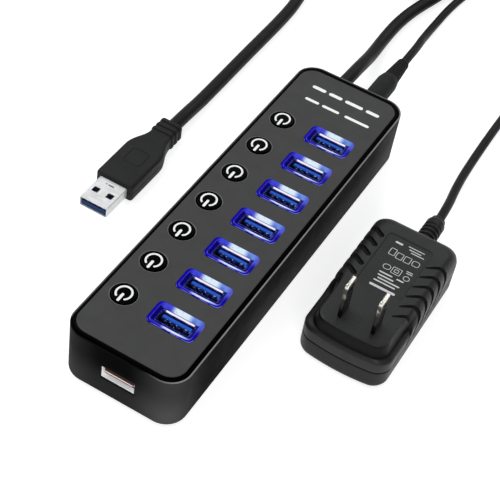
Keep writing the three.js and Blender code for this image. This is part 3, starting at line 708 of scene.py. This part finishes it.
def make_light_frame(number, y):
    sizes = [
        (13.5, 6, 0.3, 19.9), (19.7, 12.35, 2, 19.9), (19.7, 12.35, 2, 20.9), (17.7, 10.35, 1.9, 20.9),
        (17.7, 10.35, 1.9, FRAME_TOP - 0.16), (17.6, 10.25, 1.85, FRAME_TOP - 0.05),
        (17.4, 10.05, 1.8, FRAME_TOP), (16.3, 8.95, 1.5, FRAME_TOP), (16.1, 8.75, 1.4, FRAME_TOP - 0.06),
        (15.0, 7.6, 1.0, FRAME_TOP - 0.5), (13.7, 6.2, 0.4, FRAME_TOP - 0.87),
        (13.5, 6, 0.3, FRAME_TOP - 0.97),
    ]
    bm = bmesh.new()
    closed_loft(bm, [at_height(rounded(*size, 8), z) for *size, z in sizes])
    stand_in(f"light_frame_{number}", "light_frame", bm, glow_frame, place=(PORT_X, y, 0))


def make_socket(number, y):
    place = (PORT_X, y, 0)
    bm = bmesh.new()
    outline = rounded(13.3, 5.8, 0.6, 5)
    loft(bm, stack(outline, [(0, 9.45), (0, 23.9), (0.1, 24), (0.27, 24), (0.35, 23.88), (0.35, 9.8)]))
    for side in (-1, 1):
        for x in (-3.1, 3.1):
            for shift in (-0.55, 0, 0.55):
                spring = ((2.7, 23.2), (2.43, 21.6), (2.7, 18.5))
                tube(bm, [(x + shift, side * away, z) for away, z in spring], 0.3, 8)
    stand_in(f"socket_shell_{number}", "socket_shell", bm, glow_shell, place=place)
    bm = bmesh.new()
    block(bm, (-6.2, -2.45, 9.85), (6.2, 2.45, 14.4), 0.2)
    block(bm, (-5.55, 0.05, 13.4), (5.55, 1.95, 22.7), 0.3)
    for x in (-3.75, -1.25, 1.25, 3.75):
        block(bm, (x - 0.6, -0.1, 14.3), (x + 0.6, 0.15, 22.2), 0.1, material=1)
    for x in (-3, -1.5, 0, 1.5, 3):
        block(bm, (x - 0.3, -2.2, 14.2), (x + 0.3, -0.6, 16.8), 0.1, material=1)
    stand_in(f"socket_insert_{number}", "socket_insert", bm, glow_tongue, contact_lit, place=place)


SYMBOL_OUTER, SYMBOL_INNER, SYMBOL_GAP = 3.3, 2.55, math.radians(75)
SYMBOL_BAR = (1.0, -4.15, -0.25)
SYMBOL_WIDTH = 0.93


def symbol_outline():
    """An open ring with round ends, its gap towards -Y."""
    start, end = -math.pi / 2 + SYMBOL_GAP / 2, 1.5 * math.pi - SYMBOL_GAP / 2
    middle, half = (SYMBOL_OUTER + SYMBOL_INNER) / 2, (SYMBOL_OUTER - SYMBOL_INNER) / 2
    sweep = [start + (end - start) * i / 48 for i in range(49)]

    def cap(angle, first):
        turns = [first + math.pi * i / 6 for i in range(1, 6)]
        return arc(half, turns, middle * math.cos(angle), middle * math.sin(angle))

    outline = arc(SYMBOL_OUTER, sweep) + cap(end, end)
    outline += arc(SYMBOL_INNER, reversed(sweep)) + cap(start, start + math.pi)
    return [(x * SYMBOL_WIDTH, y) for x, y in outline]


def make_button(number, y):
    bm = bmesh.new()
    profile = [
        (0, 14.4), (1.6, 14.4), (1.7, 14.5), (1.7, 19.7), (5.4, 19.7), (5.5, 19.8), (5.5, 20.6), (5.4, 20.7),
        (4.55, 20.7), (4.55, 24.55), (4.51, 24.72), (4.4, 24.84), (4.25, 24.92), (4.0, 24.955), (3, 24.975),
        (1.5, 24.99), (0, 25),
    ]
    lathe(bm, profile, 56)
    loft(bm, stack(symbol_outline(), [(0, 24.9), (0, 25.0), (0.03, 25.015)]), bands=[1, 1])
    wide, low, high = SYMBOL_BAR
    bar = rounded(wide, high - low, wide / 2 - 0.001, 6, 0, (low + high) / 2)
    loft(bm, stack(bar, [(0, 24.88), (0, 25.0), (0.03, 25.015)]), bands=[1, 1])
    button = f"button_{number}"
    stand_in(button, "button", bm, button_black, white_ink, body=button, place=(BUTTON_X, y, 0))


# Charging socket in the -Y end.


def make_charge_port():
    bm = bmesh.new()
    outline = rounded(13.3, 5.8, 0.6, 5, CHARGE_X, CHARGE_Z)
    back = MOUTH_Y + 14
    levels = [
        (0, back), (0, MOUTH_Y + 0.1), (0.1, MOUTH_Y), (0.25, MOUTH_Y), (0.35, MOUTH_Y + 0.1),
        (0.35, back - 0.35),
    ]
    # The rim at the mouth takes the dark insert material: painted shade on the steel.
    loft(bm, stack(outline, levels, at_depth), bands=[1, 1, 1, 1, 0])
    shell = raw("charge_port_shell", bm, charge_steel, insert_dark)
    slots = []
    for x in (CHARGE_X - 2.9, CHARGE_X + 3.2):
        slots.append(cut_block((x - 2.6, MOUTH_Y + 1.9, 9), (x + 2.6, MOUTH_Y + 2.5, 10.5), 0.1))
    carve(shell, *slots)
    settle(shell, "socket_shell", ["charge_port_shell"])

    bm = bmesh.new()

    def bar(half, y0, y1, z0, z1, corner, material=0, x=0.0):
        low = (CHARGE_X + x - half, MOUTH_Y + y0, CHARGE_Z + z0)
        high = (CHARGE_X + x + half, MOUTH_Y + y1, CHARGE_Z + z1)
        block(bm, low, high, corner, material)

    bar(6.2, 9.6, 13.6, -2.45, 2.45, 0.2)
    bar(5.55, 0.5, 10.6, 0.05, 1.95, 0.3)
    for x in (-3.75, -1.25, 1.25, 3.75):
        bar(0.5, 1.1, 10, -0.1, 0.2, 0.1, 1, x)
    # Painted highlight: a pink strip along the tongue's front edge.
    bar(5.4, 0.48, 0.8, 0.03, 0.65, 0.05, 2)
    # Painted shadow: a dark strip under the tongue's tip.
    bar(5.5, 0.48, 1, -0.35, 0.07, 0.05, 3)
    lining = (insert_red, contact_gold, insert_pink, insert_dark)
    stand_in("charge_port_insert", "charge_insert", bm, *lining)


# Cable grommet, plugs and the adapter's strain relief.

PLUG_X = -54.8
CORD_Z = 4
NECK_SLIMMING = 0.17


def ribbed(start, end, first, last, count, depth):
    """Profile points of a tapered sleeve with raised rings."""
    points = []
    pitch = (end - start) / count
    for i in range(count):
        for share, rise in ((0.0, 0), (0.18, 0), (0.3, 1), (0.38, 1.15), (0.62, 1.15), (0.7, 1), (0.82, 0)):
            y = start + pitch * (i + share)
            radius = first + (last - first) * (y - start) / (end - start)
            points.append((radius + depth * (rise - 1.15), y))
    points.append((last - depth * 1.15, end))
    return points


RELIEFS = [
    ("cable_grommet", "rubber", rubber, (CABLE_X, 0, EXIT_Z), [
        (0, 80.9), (4.6, 80.9), (4.7, 81), (4.7, 82.2), (4.6, 82.3), (3.4, 82.3), (3.4, 84.3), (4.1, 84.3),
        (4.2, 84.4), (4.2, 85.6), (4.1, 85.8), *ribbed(86, 92.8, 3.95, 3.3, 4, 0.3), (2.8, 93), (0, 93),
    ]),
    ("dc_plug_body", "plug_grip", grip_plastic, (POWER_X, 0, EXIT_Z), [
        (0, 84.55), (4.1, 84.55), (4.3, 84.65), (4.4, 84.9), (4.4, 92), (4.33, 92.15), (4.33, 92.45),
        (4.4, 92.6), (4.4, 104.9), (4.34, 105.4), (4.18, 106.2), (3.95, 107.4), (3.86, 107.9), (3.7, 108.3),
        (3.5, 108.6), *ribbed(108.8, 121.4, 3.5, 2.6, 9, 0.42), (2.2, 121.9), (1.9, 122), (0, 122),
    ]),
    ("adapter_relief", "adapter", adapter_plastic, (55.2, 0, 8.2), [
        (0, 33.1), (3.6, 33.1), (3.75, 33.3), (3.75, 35.4), (3.55, 35.8), *ribbed(36, 45, 3.9, 3.75, 4, 0.5),
        (3.4, 45.2), (3.7, 45.6), (3.7, 48), (3.5, 48.6), (3.05, 49.3), (2.9, 49.8), (2.85, 50.6),
        (2.6, 50.95), (1.9, 51), (0, 51),
    ]),
]


def make_relief(node, slot, material, place, profile):
    bm = bmesh.new()
    lathe(bm, profile, 40, "y", place)
    return stand_in(node, slot, bm, material)


def grip_outline():
    """Outline of the plug's grip: square at the shell, shoulders, then a neck, drawn round PLUG_X."""
    half = 8.15
    right = arc(1.4, [math.pi / 2 * (i / 6 - 1) for i in range(7)], half - 1.4, -3.2)
    right += [(half, y) for y in (0, 4, 8, 12, 15)]
    for i in range(1, 17):
        t = i / 16
        x = (1 - t) ** 3 * half + 3 * (1 - t) ** 2 * t * half + 3 * (1 - t) * t * t * 4.9 + t**3 * 4.65
        y = (1 - t) ** 3 * 15 + 3 * (1 - t) ** 2 * t * 20 + 3 * (1 - t) * t * t * 22 + t**3 * 28
        right.append((x, y))
    right += [(4.5, 29.4), (4.4, 31), (4.35, 33.5), (4.3, 36.3), (4.1, 37), (3.6, 37.3)]
    left = [(-x, y) for x, y in reversed(right)]
    return [(PLUG_X + x, y) for x, y in right + left]


def make_usb_plug():
    bm = bmesh.new()
    levels = [(1.5, 0.02), (0.75, 0.25), (0.3, 0.6), (0.08, 1.1), (0, 1.7), (0, 3.85), (0.12, 3.95)]
    levels += [(distance, 2 * CORD_Z - z) for distance, z in reversed(levels)]
    rows = loft(bm, stack(grip_outline(), levels), (False, False))
    fill(bm, rows[0])
    fill(bm, rows[-1])
    for vert in bm.verts:
        slim = 1 - NECK_SLIMMING * eased(vert.co.y, (20 * MM, 28 * MM))
        vert.co.z = (vert.co.z - CORD_Z * MM) * slim + CORD_Z * MM
    steps = [(0.9, 1.05), (0.35, 0.92), (0.08, 0.7), (0, 0.38)]
    for y, half in ((29.6, 5.0), (32.5, 4.9), (35.4, 4.8)):
        levels = [(distance, y - shift) for distance, shift in steps]
        levels += [(distance, y + shift) for distance, shift in reversed(steps)]
        loft(bm, stack(rounded(2 * half, 7.7, 1.7, 6, PLUG_X, CORD_Z), levels, at_depth))
    field = rounded(8, 9, 1.8, 6, PLUG_X, 10.5)
    levels = [(0, 7.5), (0, 7.95), (0.05, 8.06), (0.15, 8.14), (0.5, 8.14), (0.6, 8.06), (0.65, 7.95)]
    loft(bm, stack(field, levels + [(0.65, 7.85)]))
    grip = stand_in("usb_plug_grip", "plug_grip", bm, grip_plastic)

    bm = bmesh.new()
    outline = rounded(12, 4.5, 0.55, 5, PLUG_X, CORD_Z)
    levels = [(0, -4.65), (0, -17.9), (0.1, -18), (0.22, -18), (0.3, -17.88), (0.3, -5.2)]
    loft(bm, stack(outline, levels, at_depth))
    shell = raw("usb_plug_shell", bm, steel)
    cuts = [(x, 1.35, -13, -10.3, z, z + 1, 0.2) for x in (-3.1, 3.1) for z in (1.5, 5.7)]
    cuts += [(x, half, -7.2, -6.5, 5.85, 7, 0.3) for x, half in ((0.5, 1.3), (-1.6, 0.35))]
    cutters = []
    for x, half, y0, y1, z0, z1, corner in cuts:
        cutters.append(cut_block((PLUG_X + x - half, y0, z0), (PLUG_X + x + half, y1, z1), corner))
    carve(shell, *cutters)
    settle(shell, "plug_shell", ["usb_plug_shell"])

    bm = bmesh.new()
    block(bm, (PLUG_X - 5.45, -17.4, 2.1), (PLUG_X + 5.45, -6, 4.2), 0.2)
    for i in range(4):
        x = PLUG_X - 3.5 + 7 / 3 * i
        block(bm, (x - 0.55, -16.8, 4.1), (x + 0.55, -8, 4.3), 0.1, material=1)
    insert = stand_in("usb_plug_insert", "plug_insert", bm, insert_blue, contact_gold)
    return grip, shell, insert


# Mains adapter. (u, v) are X and Y from its middle.

ADAPTER_X, ADAPTER_Y = 54.45, 1.3
ADAPTER_WIDTH, ADAPTER_LENGTH = 33.8, 63
ADAPTER_LEFT, ADAPTER_RIGHT = ADAPTER_X - ADAPTER_WIDTH / 2, ADAPTER_X + ADAPTER_WIDTH / 2
PLATFORM = 19.8
LABEL_FLOOR = PLATFORM - 0.3
BLADES = (48.9, 61.6)
BLADE_Y = -20.6
LEFT_RIBS = (22, 16.5, 11, 5.5, 0, -5.5)
RIGHT_RIBS = (17.3, 11.9, 6.4, 0.9, -4.6, -10.1)
LEDGE_END = (-14, -4)
# Which points of the outline start its +X, -X and -Y sides, and how many pieces each of them gets.
SIDE_STARTS = (8, 26, 35)
SIDE_POINTS = 24
NEAR_BOW = 1.8
LABEL_U, LABEL_V = 1.25, 1.8


def adapter_loop(left, right, near, far, corner=5.0):
    """An outline inset from the adapter's four sides, its -Y side bowed outwards."""
    x0, x1 = ADAPTER_LEFT + left, ADAPTER_RIGHT - right
    y0, y1 = ADAPTER_Y - ADAPTER_LENGTH / 2 + near + NEAR_BOW, ADAPTER_Y + ADAPTER_LENGTH / 2 - far
    corners = rounded(x1 - x0, y1 - y0, corner, 8, (x0 + x1) / 2, (y0 + y1) / 2)
    loop = []
    for number, (a, b) in enumerate(zip(corners, corners[1:] + corners[:1])):
        count = SIDE_POINTS if number in SIDE_STARTS else 1
        loop += [(a[0] + (b[0] - a[0]) * i / count, a[1] + (b[1] - a[1]) * i / count) for i in range(count)]
    bowed = []
    for x, y in loop:
        off = (x - ADAPTER_X) / (ADAPTER_WIDTH / 2)
        bowed.append((x, y - NEAR_BOW * (1 - off * off) * eased(-y, (10, 26))))
    return bowed


def adapter_ring(inset_by, z, corner=5.0):
    return at_height(adapter_loop(inset_by, inset_by, inset_by, inset_by, corner), z)


def shoulder_ring(blade_end, cord_end):
    """A ring that follows one (left, right, end, height) at the blades and another at the cord."""
    left, right, near, low = blade_end
    level = adapter_loop(left, right, near, near, 5 - near * 0.4)
    left, right, far, high = cord_end
    ring = []
    for (x0, y0), (x1, y1) in zip(level, adapter_loop(left, right, far, far)):
        share = eased((y0 + y1) / 2 - ADAPTER_Y, LEDGE_END)
        ring.append((x0 + (x1 - x0) * share, y0 + (y1 - y0) * share, low + (high - low) * share))
    return ring


SHOULDER = [
    ((0, 0, 0, 12.3), (0, 0, 0, 13)), ((0.15, 0.15, 0.08, 12.9), (0.05, 0.05, 0.05, 14)),
    ((1.1, 0.8, 0.4, 13.6), (0.2, 0.2, 0.2, 15)), ((2, 1.5, 0.75, 14.15), (0.45, 0.4, 0.4, 15.9)),
    ((2.4, 1.8, 1, 14.3), (0.8, 0.6, 0.7, 16.7)), ((2.75, 2.1, 1.3, 14.4), (1.2, 0.9, 1.1, 17.3)),
    ((3, 2.3, 1.45, 14.65), (1.6, 1.25, 1.6, 17.9)), ((3.4, 2.6, 1.6, 16.5), (2.2, 1.7, 2.3, 18.5)),
    ((3.9, 2.9, 1.8, 18.6), (3, 2.3, 3.2, 19.1)), ((4.15, 3.1, 1.95, 19.3), (3.7, 2.8, 4.2, 19.45)),
    ((4.5, 3.35, 2.2, 19.65), (4.4, 3.4, 5.2, 19.7)), ((5.1, 3.9, 2.7, PLATFORM), (5.1, 3.9, 6, PLATFORM)),
]
# Points of the grooves' centre lines from one side of the adapter, each with its radius.
LEFT_GROOVE = [
    (-0.5, 0.3, 13.6, 1.6), (-0.3, 0.2, 15.6, 1.7), (0.6, 0, 17.4, 1.4), (2.4, -0.9, 19, 1.15),
    (6.2, -3.6, 19.5, 1.15),
]
RIGHT_GROOVE = [
    (-7.4, -3.6, 20.1, 0.5), (-5.4, -2.2, 19.85, 0.6), (-3.4, -0.8, 19.35, 0.8), (-2, -0.2, 18.35, 1),
    (-1.1, 0, 17, 1.15), (-0.5, -0.2, 15.2, 1.15), (-0.2, -0.8, 13, 1.05), (0, -1.6, 11, 0.9),
    (0.2, -2.6, 9.2, 0.7),
]


def make_adapter():
    bm = bmesh.new()
    levels = [
        (6, 17.2, 2), (4.4, 13, 3), (2, 11.2, 3), (2, 8.3, 3), (0.45, 8.3, 4.6), (0.12, 8.4, 4.9), (0, 8.65),
    ]
    rings = [adapter_ring(*level) for level in levels]
    loft(bm, rings + [shoulder_ring(*pair) for pair in SHOULDER])
    front = raw("adapter_front", bm, stepped_plastic)
    grooves = [(ADAPTER_LEFT, v, LEFT_GROOVE, 16) for v in LEFT_RIBS[:-1]]
    grooves.append((ADAPTER_LEFT, LEFT_RIBS[-1], LEFT_GROOVE[:-1], 16))
    grooves += [(ADAPTER_RIGHT, v, RIGHT_GROOVE, 12) for v in RIGHT_RIBS]
    cutters = []
    for side, v, line, sides in grooves:
        bm = bmesh.new()
        path = [(side + x, ADAPTER_Y + v + y, z) for x, y, z, _ in line]
        tube(bm, path, [radius for *_, radius in line], sides)
        cutters.append(raw("cut", bm, groove_plastic))
    bm = bmesh.new()
    label = rounded(17.8, 28.5, 1.6, 6, ADAPTER_X, ADAPTER_Y + 7.75)
    loft(bm, stack(label, [(0.25, LABEL_FLOOR), (0, PLATFORM - 0.1), (0, PLATFORM + 1)]))
    carve(front, *cutters, raw("cut", bm))
    settle(front, "adapter", ["adapter_front"], sharp=35)

    bm = bmesh.new()
    levels = [
        (2, 2, 3), (2, 8, 3), (0.45, 8, 4.6), (0.12, 7.9, 4.9), (0, 7.65), (0, 2.4), (0.12, 1.5),
        (0.5, 0.75, 4.8), (1.05, 0.25, 4.5), (1.8, 0, 4.2),
    ]
    loft(bm, [adapter_ring(*level) for level in levels])
    return front, stand_in("adapter_back", "adapter", bm, adapter_plastic)


def make_blades():
    for number, x in enumerate(BLADES):
        bm = bmesh.new()
        rings = []
        for narrow, z in ((0, 19), (0, 34.6), (0.15, 35.3), (0.38, 35.65), (0.6, 35.75)):
            wide, deep = 1.5 - 2 * narrow, 6.3 - 4 * narrow
            rings.append(at_height(rounded(wide, deep, 0.34 * (1 - narrow), 4, x, BLADE_Y), z))
        loft(bm, rings)
        node = f"adapter_blade_{number + 1}"
        blade = raw(node, bm, blade_metal)
        bm = bmesh.new()
        hole = circle(1.5, 28, BLADE_Y, 31.25)
        loft(bm, [[(x + side, y, z) for y, z in hole] for side in (-2, 2)])
        carve(blade, raw("cut", bm))
        settle(blade, "blade", [node])


def make_label():
    """Plain bars and outlines in place of the adapter's rating label."""
    bm = bmesh.new()
    x, y = ADAPTER_X + LABEL_U, ADAPTER_Y + LABEL_V
    low, top = LABEL_FLOOR - 0.05, LABEL_FLOOR + 0.02
    bars = [
        (-5.4, 4.6, -6.2, 1.1), (-5, 3.4, -3.7, 0.6), (-4.2, 4.4, -2.2, 0.6), (-4.8, 1.4, -0.7, 0.6),
        (-5, 0.2, 0.9, 0.6), (1.8, 4.6, 0.9, 0.6), (3.4, 5.8, 5.6, 0.35), (3.2, 5.6, 6.5, 0.35),
        (0.6, 5.8, 15.4, 0.4), (-0.6, 4.2, 16.5, 0.4), (-1.4, 5, 17.8, 0.35), (-6.4, -3.4, 17.2, 0.9),
    ]
    for x0, x1, v, thickness in bars:
        pill(bm, x + x0, x + x1, y + v, thickness, low, top)
    frames = [
        (-3.6, 4.2, 3, 2.6, 1.2), (0.2, 4.2, 3.6, 3.4, 0.4), (0.2, 4.2, 1.7, 1.6, 0.2),
        (4.6, 3.1, 2.4, 2.4, 1.19), (-5, 12, 2.4, 3.6, 0.4), (-2, 11.4, 2.6, 3.2, 0.3),
        (1.1, 11.4, 2.6, 3.2, 0.3), (4.4, 11.4, 2.8, 2.8, 0.9),
    ]
    for u, v, *size in frames:
        outline = rounded(*size, 5, x + u, y + v)
        closed_loft(bm, stack(outline, [(0, low), (0, top), (0.22, top), (0.22, low)]))
    settle(raw("adapter_label", bm, label_ink), "adapter")


# Cords. The routes are the centre lines of the CAD's own tubes, and the coils wind inside its rings.

CABLE_DIAMETER, LEAD_DIAMETER = 5.5, 3.6
CABLE_COIL = {"centre": (-38, 214), "radii": [34.25, 28.75], "start": 0, "direction": 1, "tie": 70}
LEAD_COIL = {
    "centre": (33, 232), "radii": [24.5, 20.9, 17.3, 13.7], "start": math.pi, "direction": -1, "tie": 50,
}
TIE_THICKNESS, TIE_WIDTH = 0.35, 7
COIL_LIFT = 0.45
TURN_POINTS = 40
CORD_STEP = 1.8

CABLE_RUN = [
    (-9.1, 86, 12.8), (-9.1, 93.3, 12.8), (-9.1, 100, 12.3), (-9.4, 108, 11), (-10, 116, 8.9),
    (-10.8, 124, 6.4), (-11.7, 132, 4.4), (-12.5, 140, 3.1), (-12.8, 148, 2.8), (-12.6, 158, 2.8),
    (-11.5, 168, 2.8), (-9.7, 177, 2.8), (-8.1, 183.5, 2.8), (-6.9, 188.6, 2.8), (-5.2, 197, 2.9),
    (-4.1, 206, 3.1),
]
CABLE_TAIL = [
    (-71.6, 206, 7.4), (-70.6, 198, 5.6), (-68.4, 188, 3.6), (-66.6, 181, 2.9), (-63.6, 171, 2.8),
    (-60.2, 160, 2.8), (-57.4, 149, 2.8), (-55.8, 138, 2.8), (-55.2, 126, 2.8), (-55.1, 112, 2.8),
    (-55.1, 98, 2.8), (-55, 84, 2.8), (-54.9, 70, 2.8), (-54.8, 58, 3), (-54.8, 49, 3.6),
    (-54.8, 40.3, 4), (-54.8, 30, 4), (-54.8, 14, 4),
]
LEAD_RUN = [
    (5.2, 98, 12.8), (5.2, 112, 12.8), (5.2, 122.3, 12.8), (4.9, 130, 12), (4.2, 138, 10.2),
    (3.1, 146, 7.9), (2, 154, 5.2), (1.2, 162, 3.1), (0.9, 170, 2.05), (1, 180, 1.85),
    (1.7, 190, 1.85), (3.1, 200, 1.85), (4.9, 209, 1.85), (6.6, 217, 1.95), (7.9, 225, 2.2),
]
LEAD_TAIL = [
    (57.45, 223, 4.6), (57.4, 213, 2.2), (57.1, 204, 1.85), (56.2, 192, 1.85), (54.8, 178, 1.85),
    (53.2, 164, 1.85), (51.9, 150, 1.85), (51.1, 137, 1.85), (50.8, 124, 1.85), (50.8, 111, 1.85),
    (51, 98, 1.85), (51.5, 86, 2.2), (52.6, 75, 3.7), (53.9, 66, 5.6), (54.8, 58, 7.4),
    (55.2, 51.3, 8.2), (55.2, 42, 8.2), (55.2, 30, 8.2),
]

# Shares of a turn: where an upper turn moves out, the last lower turn climbs, a lower turn moves in.
MOVE_OUT = (0.02, 0.3)
CLIMB = (0.33, 0.63)
MOVE_IN = (0.66, 0.97)


def coil_points(coil, diameter):
    """A coil in two layers: inwards on the surface, then outwards over itself, and half a turn more."""
    radii, (x, y) = coil["radii"], coil["centre"]
    low = diameter / 2 + COIL_LIFT
    columns = len(radii)
    turns = 2 * columns - 0.5
    points = []
    for step in range(int(turns * TURN_POINTS) + 1):
        turn = step / TURN_POINTS
        number, share = int(turn), turn % 1
        if number < columns:
            inner = min(number + 1, columns - 1)
            radius = radii[number] + (radii[inner] - radii[number]) * eased(share, MOVE_IN)
            height = low + (diameter * eased(share, CLIMB) if number == columns - 1 else 0)
        else:
            column = 2 * columns - 1 - number
            outer = max(column - 1, 0)
            moved = eased(share, MOVE_OUT) if number < 2 * columns - 1 else 0
            radius = radii[column] + (radii[outer] - radii[column]) * moved
            height = low + diameter
        angle = coil["start"] + coil["direction"] * 2 * math.pi * turn
        points.append((x + radius * math.cos(angle), y + radius * math.sin(angle), height))
    return points


def smooth_route(points, step):
    """Points about a step apart on the centripetal curve through a route's points."""
    knots = [Vector(p) for p in points]
    knots = [2 * knots[0] - knots[1], *knots, 2 * knots[-1] - knots[-2]]
    line = []
    for a, b, c, d in zip(knots, knots[1:], knots[2:], knots[3:]):
        t1 = math.sqrt((b - a).length)
        t2 = t1 + math.sqrt((c - b).length)
        t3 = t2 + math.sqrt((d - c).length)
        count = max(1, round((c - b).length / step))
        for i in range(count):
            t = t1 + (t2 - t1) * i / count
            ab = a.lerp(b, t / t1)
            bc = b.lerp(c, (t - t1) / (t2 - t1))
            cd = c.lerp(d, (t - t2) / (t3 - t2))
            abc = ab.lerp(bc, t / t2)
            bcd = bc.lerp(cd, (t - t1) / (t3 - t1))
            line.append(abc.lerp(bcd, (t - t1) / (t2 - t1)))
    return [*line, knots[-2]]


def cord_curve(name, run, coil, tail, diameter):
    line = smooth_route(run + coil_points(coil, diameter) + tail, CORD_STEP)
    data = bpy.data.curves.new(name, "CURVE")
    data.dimensions = "3D"
    data.bevel_depth = diameter / 2 * MM
    data.bevel_resolution = 6
    data.use_fill_caps = True
    data.materials.append(cord_skin)
    spline = data.splines.new("POLY")
    spline.points.add(len(line) - 1)
    for point, place in zip(spline.points, line):
        point.co = (*(place * MM), 1)
    spline.use_smooth = True
    cord = bpy.data.objects.new(name, data)
    bpy.context.scene.collection.objects.link(cord)
    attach(cord, HUB)
    return cord


def tie(name, coil, diameter):
    """A strap round one place of a coil."""
    radii, (x, y) = coil["radii"], coil["centre"]
    inner, outer = radii[-1] - diameter / 2 - 0.05, radii[0] + diameter / 2 + 0.05
    low, high = COIL_LIFT - 0.05, COIL_LIFT + 2 * diameter + 0.05
    loop = rounded(outer - inner, high - low, 1.6, 6, (inner + outer) / 2, (low + high) / 2)
    a, b = arc(1, [math.radians(coil["tie"])])[0]

    def ring(share, shift):
        outline = inset(loop, -TIE_THICKNESS * share)
        return [(x + a * r - b * shift, y + b * r + a * shift, z) for r, z in outline]

    half, soft = TIE_WIDTH / 2, 0.12
    steps = [(0, -half), (0.8, -half), (1, soft - half), (1, half - soft), (0.8, half), (0, half)]
    bm = bmesh.new()
    closed_loft(bm, [ring(*step) for step in steps])
    settle(raw(name, bm, tie_fabric), "cord")


# Building it all.

make_casing()
make_base()
make_face()
make_charge_port()
for row in range(ROWS):
    make_light_frame(row + 1, row_y(row))
    make_socket(row + 1, row_y(row))
    make_button(row + 1, row_y(row))
grommet, dc_body, relief = [make_relief(*parts) for parts in RELIEFS]
plug_grip, plug_shell, plug_insert = make_usb_plug()
adapter_front, adapter_back = make_adapter()
make_blades()
make_label()

cable = cord_curve("usb_cable", CABLE_RUN, CABLE_COIL, CABLE_TAIL, CABLE_DIAMETER)
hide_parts("usb_cable_run", "usb_cable_coil", "usb_cable_tail")
lead = cord_curve("power_lead", LEAD_RUN, LEAD_COIL, LEAD_TAIL, LEAD_DIAMETER)
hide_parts("power_lead_run", "power_lead_coil", "power_lead_tail")
tie("cable_tie", CABLE_COIL, CABLE_DIAMETER)
tie("lead_tie", LEAD_COIL, LEAD_DIAMETER)

# Pieces kept as the CAD has them.
KEPT = {
    "circuit_board": board_green, "adapter_board": board_green, "dc_jack": insert_dark,
    "dc_plug_barrel": steel,
}
for name, material in KEPT.items():
    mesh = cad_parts[name].data
    mesh.materials.clear()
    mesh.materials.append(material)


# Floor and light. The lights' places and sizes are in metres.


def make_floor():
    graph = Graph("floor_paper")
    drift = graph.ramp(graph.noise(2, 3))
    graph.paint(drift, grey(0.6), grey(0.64))
    graph.paint(drift, grey(0.98), grey(1.0), socket="Emission Color")
    graph.bump(graph.noise(900, 2), 0.02)
    paper = graph.done({"Emission Strength": 0.68, "Roughness": 0.8, "Specular IOR Level": 0.1})
    bm = bmesh.new()
    sheet = rounded(6000, 6000, 500, 6)
    loft(bm, [at_height(sheet, -20), at_height(sheet, -0.05)])
    raw("floor", bm, paper)


def area_light(name, place, target, size, power, colour=(1, 1, 1)):
    data = bpy.data.lights.new(name, "AREA")
    data.shape, data.size, data.size_y = "RECTANGLE", size[0], size[1]
    data.energy, data.color = power, colour
    light = bpy.data.objects.new(name, data)
    light.location = place
    light.rotation_euler = (Vector(target) - Vector(place)).to_track_quat("-Z", "Y").to_euler()
    bpy.context.scene.collection.objects.link(light)


def make_world():
    world = bpy.data.worlds.new("studio")
    world.use_nodes = True
    background = world.node_tree.nodes["Background"]
    background.inputs["Color"].default_value = (0.95, 0.97, 1, 1)
    background.inputs["Strength"].default_value = 0.45
    bpy.context.scene.world = world


make_floor()
make_world()
area_light("key_left", (-0.9, 0.2, 1.2), (0, 0, 0), (0.9, 1.2), 12)
area_light("fill_front", (0.7, -1.2, 0.9), (0, 0, 0), (0.7, 0.5), 9)
area_light("top_back", (0.1, 1.3, 1.1), (0, 0, 0), (1.4, 0.5), 5)
bpy.context.scene.view_settings.view_transform = "Standard"
